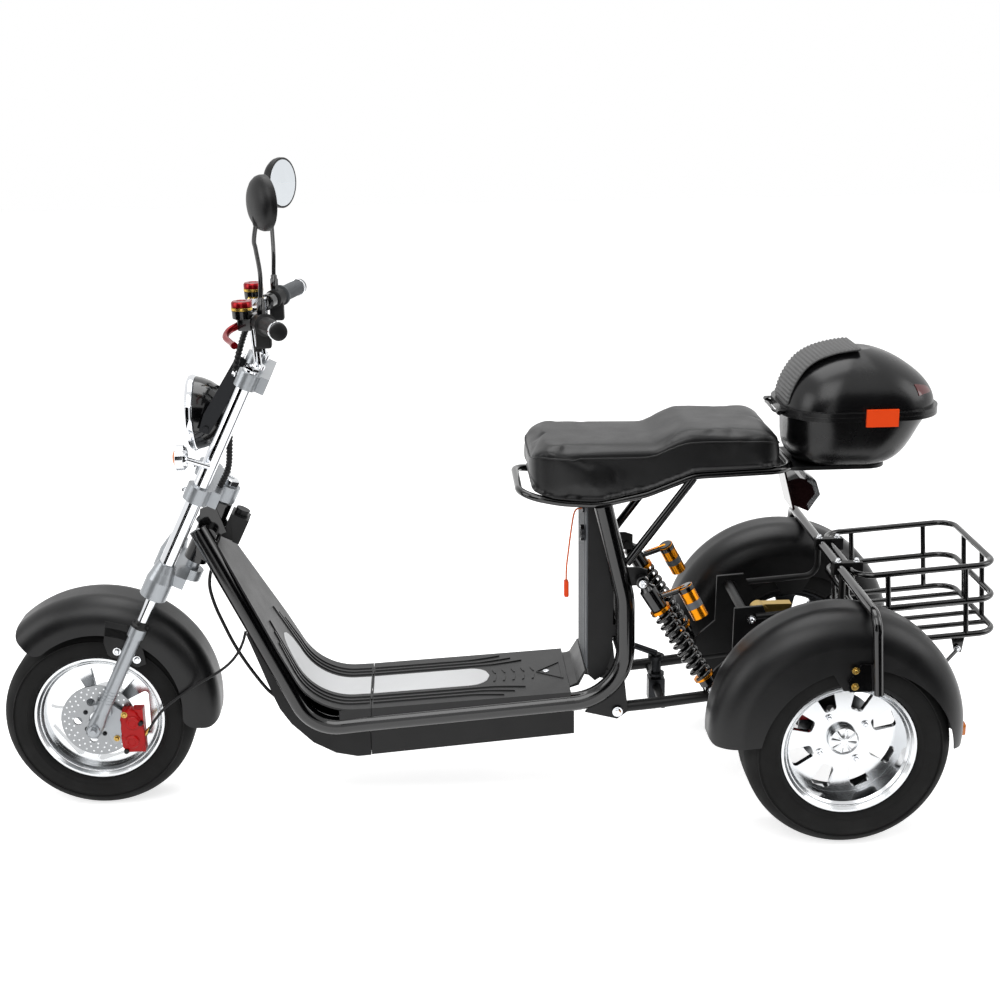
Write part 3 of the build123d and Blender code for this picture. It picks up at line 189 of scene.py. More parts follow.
# ---------------------------------------------------------------- finishes
COAT_ROUGHNESS = 0.06
CLOUD = {"Scale": 18.0, "Detail": 4.0, "Roughness": 0.6}    # patches of the slow colour drift
COLOUR_BAND = (0.42, 0.78)     # part of the cloud's range in which the colour drifts
ROUGH_BAND = (0.3, 0.7)        # and the one in which the roughness does
ROUGH_SWING = 0.12             # share by which the roughness drifts either way
RELIEF = 0.4                   # depth of a full bump, mm


class Texture(Enum):
    """Relief that a finish can carry: its pattern node, output, scale and strength."""

    NONE = ("", "", 0.0, 0.0)
    ORANGE_PEEL = ("ShaderNodeTexNoise", "Fac", 420.0, 0.02)
    FINE_GRAIN = ("ShaderNodeTexNoise", "Fac", 1400.0, 0.16)
    LEATHER = ("ShaderNodeTexVoronoi", "Distance", 620.0, 0.30)
    CAST = ("ShaderNodeTexNoise", "Fac", 700.0, 0.12)
    BRUSHED = ("ShaderNodeTexNoise", "Fac", 900.0, 0.03)
    WEAVE = ("ShaderNodeTexWave", "Fac", 900.0, 0.5)
    RUBBER = ("ShaderNodeTexNoise", "Fac", 900.0, 0.18)


@dataclass(frozen=True)
class Finish:
    """One surface: what it is made of and how it takes the light."""

    name: str
    colour: str
    roughness: float = 0.4
    metallic: float = 0.0
    coat: float = 0.0
    texture: Texture = Texture.NONE
    vary: float = 0.05          # share by which the colour wanders
    wear: str = ""              # colour that dust brings in, if any
    transmission: float = 0.0
    specular: float = 0.5       # share of the bare gloss at right angles, non-metals only
    edge: float = 0.8           # rounding seen on sharp CAD edges, mm

    def build(self) -> bpy.types.Material:
        """Makes the node material, once for each name.

        Returns:
            The material.
        """
        found = bpy.data.materials.get(self.name)
        if found:
            return found
        material, tree, shader = surface(self.name, {
            "Base Color": linear(self.colour), "Roughness": self.roughness,
            "Metallic": self.metallic, "Coat Weight": self.coat,
            "Coat Roughness": COAT_ROUGHNESS,
            "Transmission Weight": self.transmission, "Specular IOR Level": self.specular})
        place = node(tree, "ShaderNodeTexCoord").outputs["Object"]
        if not self.transmission:
            self._drift(tree, shader, place)
        self._relief(tree, shader, place)
        return material

    def _drift(self, tree: bpy.types.NodeTree, shader: bpy.types.Node,
               place: bpy.types.NodeSocket) -> None:
        """Slow drift of the base colour and the roughness over the surface.

        Args:
            tree: the material's node tree.
            shader: its main shader.
            place: where on the object a point lies.
        """
        cloud = node(tree, "ShaderNodeTexNoise", **CLOUD)
        base = linear(self.colour)
        paler = tuple(min(1.0, c * (1 + self.vary * 4) + 0.002) for c in base)
        mix = node(tree, "ShaderNodeMix", data_type="RGBA")
        mix.inputs["A"].default_value = base
        mix.inputs["B"].default_value = linear(self.wear) if self.wear else paler
        fac = cloud.outputs["Fac"]
        share = remap(tree, fac, COLOUR_BAND, (0.0, min(1.0, self.vary * 6)))
        rough = remap(tree, fac, ROUGH_BAND,
                      (self.roughness * (1 - ROUGH_SWING),
                       min(1.0, self.roughness * (1 + ROUGH_SWING))))
        link(tree, (place, cloud.inputs["Vector"]), (share, mix.inputs["Factor"]),
             (mix.outputs["Result"], shader.inputs["Base Color"]),
             (rough, shader.inputs["Roughness"]))

    def _relief(self, tree: bpy.types.NodeTree, shader: bpy.types.Node,
                place: bpy.types.NodeSocket) -> None:
        """Small-scale bump of the material, on top of softly rounded edges.

        Args:
            tree: the material's node tree.
            shader: its main shader.
            place: where on the object a point lies.
        """
        normal = node(tree, "ShaderNodeBevel", Radius=self.edge * MM).outputs["Normal"]
        kind, height, scale, strength = self.texture.value
        if kind:
            pattern = node(tree, kind, Scale=scale)
            bump = node(tree, "ShaderNodeBump", Strength=strength, Distance=RELIEF * MM)
            link(tree, (place, pattern.inputs["Vector"]),
                 (pattern.outputs[height], bump.inputs["Height"]),
                 (normal, bump.inputs["Normal"]))
            normal = bump.outputs["Normal"]
        link(tree, (normal, shader.inputs["Normal"]))


# Gloss enamel on tubes: a black that carries long white highlights.
GLOSS_BLACK = Finish("gloss_black_enamel", "050506", 0.16, coat=0.5, specular=0.45,
                     texture=Texture.ORANGE_PEEL, vary=0.02)
# Powder coat of brackets and castings: black with a dull, grainy sheen.
SATIN_BLACK = Finish("satin_black_powder_coat", "0b0b0c", 0.42, specular=0.3,
                     texture=Texture.FINE_GRAIN)
# Unpainted moulded covers: the greyest of the blacks, no mirror in it.
MATT_PLASTIC = Finish("matt_black_polypropylene", "101011", 0.52, specular=0.28,
                      texture=Texture.FINE_GRAIN)
# Wheel guards: satin moulding that shows broad soft highlights on its crown.
FENDER = Finish("satin_black_guard_plastic", "0e0e0f", 0.36, specular=0.34,
                texture=Texture.FINE_GRAIN)
# Top case shell: smoother plastic with clear window reflections at its edges.
CASE_PLASTIC = Finish("satin_black_case_plastic", "0a0a0b", 0.26, specular=0.4,
                      texture=Texture.FINE_GRAIN)
# Floor sheet: satin, rubbery plastic with a low sheen along its bend.
DECK_RUBBER = Finish("black_floor_sheet", "0d0d0e", 0.34, specular=0.36,
                     texture=Texture.FINE_GRAIN)
# Tyre rubber: matt near-black with paler dust in the tread.
TYRE = Finish("tyre_rubber", "131313", 0.76, specular=0.22, texture=Texture.RUBBER, wear="1e1d1c",
              edge=1.5)
# Polished spokes and rims: bright, faintly brushed.
POLISHED = Finish("polished_cast_aluminium", "d4d6d8", 0.17, metallic=1.0,
                  texture=Texture.BRUSHED)
# Plated tubes and rings: sharp reflections of the room.
CHROME = Finish("chrome_plate", "e3e5e8", 0.05, metallic=1.0)
# Sliders, yokes and bridge: silver lacquer on a cast skin.
SILVER = Finish("silver_paint_on_castings", "9da1a5", 0.32, metallic=0.6, coat=0.3,
                texture=Texture.CAST)
# Brake discs: ground steel, a duller grey than the rim behind.
BRUSHED_STEEL = Finish("drilled_steel_disc", "8f9193", 0.32, metallic=1.0,
                       texture=Texture.BRUSHED)
# Forged and oiled parts: dark metal that only glints. It also stands as painted shade in the inner
# wells of the rear rims.
DARK_STEEL = Finish("dark_steel", "2c2d2f", 0.36, metallic=0.9, texture=Texture.CAST)
# Passivated screws and covers: pale straw-coloured metal.
ZINC = Finish("yellow_zinc_plate", "c2a35a", 0.3, metallic=1.0)
# Band round the brake pots: a thin gold line between black and red.
GOLD = Finish("gold_anodised_aluminium", "d9b45c", 0.26, metallic=1.0)
# Seat skin: embossed vinyl, soft sheen along its rounded edges.
VINYL = Finish("black_seat_vinyl", "0a0a0b", 0.36, specular=0.36, texture=Texture.LEATHER,
               edge=2.0)
# Rider-side pad of the case: grey moulded rubber that makes its ribs readable.
PAD_GREY = Finish("grey_rubber_back_pad", "5c5c5c", 0.56, specular=0.3, texture=Texture.RUBBER)
# Far grip: grey rubber, no shine. The near grip is the same rubber, but it is painted in shade with
# the black rubber finish.
GRIP_GREY = Finish("grey_grip_rubber", "55585b", 0.55, texture=Texture.RUBBER)
# Case catches and key fob: solid orange plastic, the loudest colour on the machine.
ORANGE = Finish("bright_orange_moulding", "f2480a", 0.34, specular=0.25)
# Left brake lever and the pot lids: deep red dyed metal.
RED_METAL = Finish("dark_red_anodised_aluminium", "8c0812", 0.22, metallic=0.7)
# Reservoirs and spring seats: dyed aluminium that flashes yellow in the light.
ORANGE_METAL = Finish("orange_anodised_aluminium", "d9860c", 0.24, metallic=0.9)
# Calipers: bright enamel inside the pale wheels.
RED = Finish("red_enamel", "b40206", 0.3, coat=0.08, specular=0.22)
# Reflectors of the top case: dark red, seen unlit.
DARK_RED = Finish("dark_red_reflector", "560609", 0.12, coat=0.4)
# Rear lamp case: smoked plastic with a trace of red.
LAMP_SMOKE = Finish("smoked_lamp_plastic", "1a0b0c", 0.12, coat=0.4)
# Signal lenses and rear reflectors: amber with a wet shine.
AMBER = Finish("amber_lens", "e27a10", 0.1, coat=0.5)
# Headlamp and rear lamp covers: clear, so that the bowl shows behind.
LENS = Finish("clear_lamp_lens", "eef2f5", 0.03, transmission=0.95)
# Silvered glass of the mirrors: a clean image of the white room.
MIRROR = Finish("mirror_glass", "dfe4e8", 0.02, metallic=1.0)
# Panel under the front of the seat: mid grey moulding beside the blacks.
PANEL_GREY = Finish("grey_ribbed_panel", "5e6165", 0.4, specular=0.4, texture=Texture.FINE_GRAIN)
# Printed floor stripe: plain pale band, the brightest thing on the floor sheet.
WHITE = Finish("white_printed_stripe", "d9dadb", 0.42)
# Hoses and conduit: black rubber with a soft edge of light. It also stands as painted shade on the
# near grip.
BLACK_RUBBER = Finish("black_cable_rubber", "080809", 0.44, specular=0.3, texture=Texture.RUBBER)
# Cord of the seat key: matt orange weave.
STRAP_ORANGE = Finish("orange_key_cord", "ef6a17", 0.6, texture=Texture.WEAVE)

CAD_FINISHES = {
    GLOSS_BLACK: ("frame_tubes", "head_tube", "basket", "fender_hoop", "seat_frame", "handlebar",
                  "mirrors", "headlamp_shell"),
    SATIN_BLACK: ("swing_frame", "rear_gussets", "battery_tray", "battery_pack", "axle_housing",
                  "case_carrier", "horn_box"),
    MATT_PLASTIC: ("belly_pan", "seat_box", "bar_controls"),
    FENDER: ("front_fender", "rear_fenders"),
    BLACK_RUBBER: ("conduit_upper", "conduit_lower", "brake_hose"),
    DECK_RUBBER: ("footboard", "battery_lid"),
    CASE_PLASTIC: ("case_bowl", "case_lid"),
    TYRE: ("front_tyre", "rear_tyre_left", "rear_tyre_right"),
    POLISHED: ("front_rim", "rear_rim_left", "rear_rim_right"),
    CHROME: ("fork_tubes", "bar_risers", "front_signals"),
    SILVER: ("fork_sliders", "fork_bridge", "fork_yokes"),
    BRUSHED_STEEL: ("front_brake_disc", "rear_brake_disc_left", "rear_brake_disc_right"),
    DARK_STEEL: ("headlamp_ears", "spring_unit", "shocks", "lock_and_socket"),
    ZINC: ("zinc_fittings",),
    VINYL: ("seat_cushion",),
    PAD_GREY: ("case_pad",),
    GRIP_GREY: ("grips",),
    ORANGE: ("case_catches", "key_fob"),
    ORANGE_METAL: ("shock_reservoirs",),
    RED: ("front_caliper", "rear_calipers"),
    LAMP_SMOKE: ("rear_lamp",),
    LENS: ("headlamp_lens",),
    MIRROR: ("mirror_glass",),
    PANEL_GREY: ("box_panel",),
    STRAP_ORANGE: ("key_strap",),
}


@dataclass(frozen=True)
class Reservoir:
    """Middle line of a shock's gas reservoir, on the rider's left."""

    foot: tuple = (275, 150, 436)
    top: tuple = (309, 138, 501)
    radius: float = 17.4

    def clears(self, place: Vector) -> bool:
        """Tells the arm from the round body that it holds.

        Args:
            place: a place on either side of the tricycle, mm.

        Returns:
            True where the place lies beside the round body.
        """
        start = Vector(self.foot)
        along = (Vector(self.top) - start).normalized()
        here = Vector((place.x, abs(place.y), place.z)) - start
        return (here - along * here.dot(along)).length > self.radius


# Nodes of two surfaces: the second one, and the test of a face's middle that chooses it.
SECOND_FINISHES = (
    ("zinc_fittings", SATIN_BLACK, lambda c: c.z > 460),                  # painted upper fittings
    ("front_caliper", SILVER, lambda c: c.x > 1508 or c.z > 240),         # its carrier
    ("rear_lamp", AMBER, lambda c: c.x < -200),                           # guard reflectors
    ("shock_reservoirs", GLOSS_BLACK, Reservoir().clears),                # their arms
    # Painted shade: faces in the inner wells of both rear rims get the dark steel finish in place
    # of polish, standing for the shade inside the well.
    ("rear_rim_left", DARK_STEEL, lambda c: abs(c.y) < 277),              # shaded inner well
    ("rear_rim_right", DARK_STEEL, lambda c: abs(c.y) < 277),
)


def dress_cad(trike: Trike) -> None:
    """Gives every CAD node its finish, and some of their faces a second one.

    Args:
        trike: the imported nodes.
    """
    for finish, names in CAD_FINISHES.items():
        for name in names:
            mesh = trike.nodes[name].data
            mesh.materials.clear()
            mesh.materials.append(finish.build())
    for name, finish, chosen in SECOND_FINISHES:
        second_finish(trike, name, finish, chosen)
    LOG.info("finished %d CAD nodes", sum(len(n) for n in CAD_FINISHES.values()))


def second_finish(trike: Trike, name: str, finish: Finish,
                  chosen: Callable[[Vector], bool]) -> None:
    """Gives some faces of a CAD node another finish.

    Args:
        trike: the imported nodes.
        name: the node.
        finish: the other finish.
        chosen: true for a face's middle in millimetres.
    """
    mesh = trike.nodes[name].data
    mesh.materials.append(finish.build())
    zero = trike.at(0, 0, 0)
    for face in mesh.polygons:
        if chosen((face.center - zero) / MM):
            face.material_index = 1


# ---------------------------------------------------------------- mesh helpers
def show(name: str, data: bpy.types.ID) -> bpy.types.Object:
    """Links new mesh, curve, lamp or camera data into the scene.

    Args:
        name: name of the object.
        data: what it shows.

    Returns:
        The object.
    """
    made = bpy.data.objects.new(name, data)
    bpy.context.scene.collection.objects.link(made)
    return made


def baked(holder: bpy.types.Object) -> bpy.types.Mesh:
    """Takes the mesh that an object's modifiers make, and drops the object.

    Args:
        holder: the object.

    Returns:
        The mesh.
    """
    graph = bpy.context.evaluated_depsgraph_get()
    made = bpy.data.meshes.new_from_object(holder.evaluated_get(graph))
    bpy.data.objects.remove(holder)
    return made


def smooth(mesh: bpy.types.Mesh, crease: float = 180.0) -> bpy.types.Mesh:
    """Shades a mesh smooth.

    Args:
        mesh: the mesh.
        crease: angle above which an edge stays sharp, 180 for none.

    Returns:
        The same mesh.
    """
    mesh.polygons.foreach_set("use_smooth", [True] * len(mesh.polygons))
    if crease < 180.0:
        mesh.set_sharp_from_angle(angle=math.radians(crease))
    return mesh


def nearest(mesh: bpy.types.Mesh) -> BVHTree:
    """Search tree of a mesh's faces."""
    return BVHTree.FromPolygons([v.co for v in mesh.vertices],
                                [tuple(p.vertices) for p in mesh.polygons])


def put(name: str, data: bpy.types.ID, finish: Finish, body: str) -> bpy.types.Object:
    """Puts a mesh or curve in the scene as one finished piece.

    Args:
        name: piece name.
        data: mesh or curve data in the row frame.
        finish: its surface.
        body: the CAD body that it rides on.

    Returns:
        The object.
    """
    piece = show(name, data)
    data.materials.clear()
    data.materials.append(finish.build())
    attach(piece, body)
    LOG.info("built %s", name)
    return piece


def curve_points(points: list, steps: int = 6) -> list:
    """Smooth run through the given places.

    Args:
        points: places in millimetres.
        steps: samples between two places.

    Returns:
        The places of a Catmull-Rom curve through them.
    """
    spots = [Vector(p) for p in points]
    spots = [2 * spots[0] - spots[1], *spots, 2 * spots[-1] - spots[-2]]
    run = []
    for i in range(1, len(spots) - 2):
        a, b, c, d = spots[i - 1:i + 3]
        for k in range(steps):
            t = k / steps
            run.append(0.5 * (2 * b + (c - a) * t + (2 * a - 5 * b + 4 * c - d) * t ** 2
                              + (3 * b - a - 3 * c + d) * t ** 3))
    run.append(spots[-2])
    return run


def spokes(axis: tuple, sides: int) -> tuple:
    """Directions round an axis.

    Args:
        axis: direction of the axis.
        sides: how many directions.

    Returns:
        The axis as a unit vector, and the list of unit vectors square to it.
    """
    away = Vector(axis).normalized()
    side = away.orthogonal().normalized()
    up = away.cross(side)
    angles = [2 * math.pi * k / sides for k in range(sides)]
    return away, [side * math.cos(a) + up * math.sin(a) for a in angles]


class Shape:
    """Closed mesh under construction, in the trike's own millimetres."""

    def __init__(self) -> None:
        """Starts an empty mesh."""
        self.bm = bmesh.new()

    def skin(self, rings: list, caps: bool = True, loop: bool = False) -> "Shape":
        """Skins rings of equal length.

        Args:
            rings: lists of places.
            caps: close both ends.
            loop: join the last ring to the first.

        Returns:
            This shape.
        """
        rows = [[self.bm.verts.new(p) for p in ring] for ring in rings]
        pairs = list(zip(rows, rows[1:])) + ([(rows[-1], rows[0])] if loop else [])
        for one, two in pairs:
            for i in range(len(one)):
                j = (i + 1) % len(one)
                self.bm.faces.new((one[i], one[j], two[j], two[i]))
        if caps and not loop:
            self.bm.faces.new(rows[0][::-1])
            self.bm.faces.new(rows[-1])
        return self

    def lathe(self, centre: tuple, axis: tuple, profile: list, sides: int = 40) -> "Shape":
        """Turned solid.

        Args:
            centre: place on the axis where `along` is 0.
            axis: direction of the axis.
            profile: (along, radius) pairs from one end to the other.
            sides: steps round the axis.

        Returns:
            This shape.
        """
        away, outs = spokes(axis, sides)
        return self.skin([[Vector(centre) + away * along + out * max(radius, 0.05)
                           for out in outs] for along, radius in profile])

    def ring(self, centre: tuple, axis: tuple, profile: list, sides: int = 48) -> "Shape":
        """Turned ring whose closed section stays off the axis.

        Args:
            centre: place on the axis where `along` is 0.
            axis: direction of the axis.
            profile: (along, radius) pairs round the section.
            sides: steps round the axis.

        Returns:
            This shape.
        """
        away, outs = spokes(axis, sides)
        return self.skin([[Vector(centre) + away * along + out * radius
                           for along, radius in profile] for out in outs], loop=True)

    def tube(self, points: list, radius: float | list, sides: int = 12) -> "Shape":
        """Round bar along places.

        Args:
            points: the middle line.
            radius: one radius, or one for each point.
            sides: steps round the bar.

        Returns:
            This shape.
        """
        spots = [Vector(p) for p in points]
        last = len(spots) - 1
        radii = radius if isinstance(radius, list) else [radius] * len(spots)
        turns = [2 * math.pi * k / sides for k in range(sides)]
        side = (spots[1] - spots[0]).orthogonal().normalized()
        rings = []
        for i, spot in enumerate(spots):
            ahead = (spots[min(i + 1, last)] - spots[max(i - 1, 0)]).normalized()
            side = (side - ahead * side.dot(ahead)).normalized()
            up = ahead.cross(side)
            rings.append([spot + (side * math.cos(a) + up * math.sin(a)) * radii[i]
                          for a in turns])
        return self.skin(rings)

    def plate(self, outline: list, start: tuple, across: tuple, up: tuple, thick: float,
              bevel: float = 0.0) -> "Shape":
        """Flat piece cut to an outline.

        Args:
            outline: (across, up) pairs in order.
            start: place of the outline's zero.
            across: direction of the first number.
            up: direction of the second number.
            thick: thickness along across x up.
            bevel: rounding of its edges.

        Returns:
            This shape.
        """
        a, b = Vector(across).normalized(), Vector(up).normalized()
        n = a.cross(b)
        base = [Vector(start) + a * u + b * v for u, v in outline]
        before = set(self.bm.edges)
        self.skin([base, [p + n * thick for p in base]])
        if bevel:
            fresh = [e for e in self.bm.edges if e not in before]
            bmesh.ops.bevel(self.bm, geom=fresh, offset=bevel, segments=3, profile=0.6,
                            affect="EDGES", clamp_overlap=True)
        return self

    def block(self, low: tuple, high: tuple, bevel: float) -> "Shape":
        """Rounded block.

        Args:
            low: its corner with the smallest numbers.
            high: the opposite corner.
            bevel: rounding of its edges.

        Returns:
            This shape.
        """
        wide, deep, tall = (b - a for a, b in zip(low, high))
        return self.plate([(0, 0), (wide, 0), (wide, deep), (0, deep)], low, X, Y, tall, bevel)

    def bolt(self, place: tuple, axis: tuple, size: float = 8.0, tall: float = 5.0) -> "Shape":
        """Hexagon bolt head on its washer.

        Args:
            place: where it stands on the surface.
            axis: direction away from the surface.
            size: width of the head.
            tall: height of the head.

        Returns:
            This shape.
        """
        self.lathe(place, axis, [(-1, size * 0.85), (1.2, size * 0.85), (1.2, size * 0.5)], 24)
        foot = Vector(place) + Vector(axis).normalized() * 1.0
        return self.lathe(foot, axis, [(0, size * 0.58), (tall * 0.8, size * 0.58),
                                       (tall, size * 0.46), (tall, size * 0.3),
                                       (tall * 0.7, size * 0.26)], 6)

    def mesh(self, trike: Trike, name: str, crease: float = CREASE) -> bpy.types.Mesh:
        """Ends the shape as a smooth-shaded mesh in the row frame.

        Args:
            trike: gives the frame's zero.
            name: mesh name.
            crease: angle above which an edge stays sharp.

        Returns:
            The mesh.
        """
        bmesh.ops.remove_doubles(self.bm, verts=self.bm.verts, dist=0.02)
        bmesh.ops.recalc_face_normals(self.bm, faces=self.bm.faces)
        place = Matrix.Translation(trike.at(0, 0, 0)) @ Matrix.Scale(MM, 4)
        bmesh.ops.transform(self.bm, matrix=place, verts=self.bm.verts)
        made = bpy.data.meshes.new(name)
        self.bm.to_mesh(made)
        self.bm.free()
        return smooth(made, crease)


class PartsRing:
    """Geometry Nodes tree that repeats one element round an axis."""

    NAME = "parts_round_an_axis"
    INPUTS = (("Element", "NodeSocketGeometry"), ("Count", "NodeSocketInt"),
              ("Radius", "NodeSocketFloat"), ("Start", "NodeSocketFloat"),
              ("Finish", "NodeSocketMaterial"))

    @classmethod
    def tree(cls) -> bpy.types.NodeTree:
        """Builds the tree once.

        Returns:
            The tree.
        """
        found = bpy.data.node_groups.get(cls.NAME)
        if found:
            return found
        tree = bpy.data.node_groups.new(cls.NAME, "GeometryNodeTree")
        for label, kind in cls.INPUTS:
            tree.interface.new_socket(label, in_out="INPUT", socket_type=kind)
        tree.interface.new_socket("Parts", in_out="OUTPUT", socket_type="NodeSocketGeometry")
        given, result, circle, index, angle, first, spread, real, spin, paint = (
            tree.nodes.new(kind) for kind in (
                "NodeGroupInput", "NodeGroupOutput", "GeometryNodeMeshCircle",
                "GeometryNodeInputIndex", "ShaderNodeCombineXYZ", "ShaderNodeCombineXYZ",
                "GeometryNodeInstanceOnPoints", "GeometryNodeRealizeInstances",
                "GeometryNodeTransform", "GeometryNodeSetMaterial"))
        share = node(tree, "ShaderNodeMath", operation="DIVIDE")
        turn = node(tree, "ShaderNodeMath", operation="MULTIPLY")
        turn.inputs[1].default_value = 2 * math.pi
        link(tree, (given.outputs["Count"], circle.inputs["Vertices"]),
             (given.outputs["Radius"], circle.inputs["Radius"]),
             (index.outputs[0], share.inputs[0]),
             (given.outputs["Count"], share.inputs[1]),
             (share.outputs[0], turn.inputs[0]),
             (turn.outputs[0], angle.inputs["Z"]),
             (circle.outputs[0], spread.inputs["Points"]),
             (given.outputs["Element"], spread.inputs["Instance"]),
             (angle.outputs[0], spread.inputs["Rotation"]),
             (spread.outputs[0], real.inputs[0]),
             (real.outputs[0], spin.inputs["Geometry"]),
             (given.outputs["Start"], first.inputs["Z"]),
             (first.outputs[0], spin.inputs["Rotation"]),
             (spin.outputs[0], paint.inputs["Geometry"]),
             (given.outputs["Finish"], paint.inputs["Material"]),
             (paint.outputs[0], result.inputs[0]))
        return tree

    @classmethod
    def mesh(cls, name: str, element: Shape, count: int, radius: float, centre: Vector,
             axis: Vector, finish: Finish, start: float = 0.0,
             crease: float = CREASE) -> bpy.types.Mesh:
        """Repeats an element and gives back one plain mesh.

        Args:
            name: mesh name.
            element: one part in millimetres, X outwards, Z along the axis, at its own zero.
            count: how many.
            radius: circle that their zeros stand on, mm.
            centre: middle of the circle in metres, row frame.
            axis: direction that the elements' Z takes.
            finish: their surface.
            start: angle of the first one, degrees.
            crease: angle above which an edge stays sharp.

        Returns:
            The mesh in the row frame.
        """
        bmesh.ops.recalc_face_normals(element.bm, faces=element.bm.faces)
        source = bpy.data.meshes.new(name + "_one")
        element.bm.to_mesh(source)
        element.bm.free()
        source.transform(Matrix.Scale(MM, 4))
        holder = show(name + "_ring", source)
        tree = cls.tree()
        modifier = holder.modifiers.new("ring", "NODES")
        modifier.node_group = tree
        values = {"Count": count, "Radius": radius * MM, "Start": math.radians(start),
                  "Finish": finish.build()}
        for item in tree.interface.items_tree:
            if item.item_type == "SOCKET" and item.in_out == "INPUT" and item.name in values:
                modifier[item.identifier] = values[item.name]
        made = baked(holder)
        made.name = name
        turn = Vector(Z).rotation_difference(axis).to_matrix().to_4x4()
        made.transform(Matrix.Translation(centre) @ turn)
        return smooth(made, crease)


@dataclass
class Dress:
    """Finer pieces of one region; most of them ride on one body."""

    trike: Trike
    body: str = "frame"

    def add(self, shape: Shape, name: str, finish: Finish, slot: str, crease: float = CREASE,
            body: str = "") -> bpy.types.Object:
        """Ends a shape and puts it in the scene.

        Args:
            shape: the shape, which can't be used after this.
            name: piece name.
            finish: its surface.
            slot: the record's material slot; not used.
            crease: angle above which an edge stays sharp.
            body: the CAD body that it rides on, if not the region's own.

        Returns:
            The object.
        """
        return put(name, shape.mesh(self.trike, name, crease), finish, body or self.body)


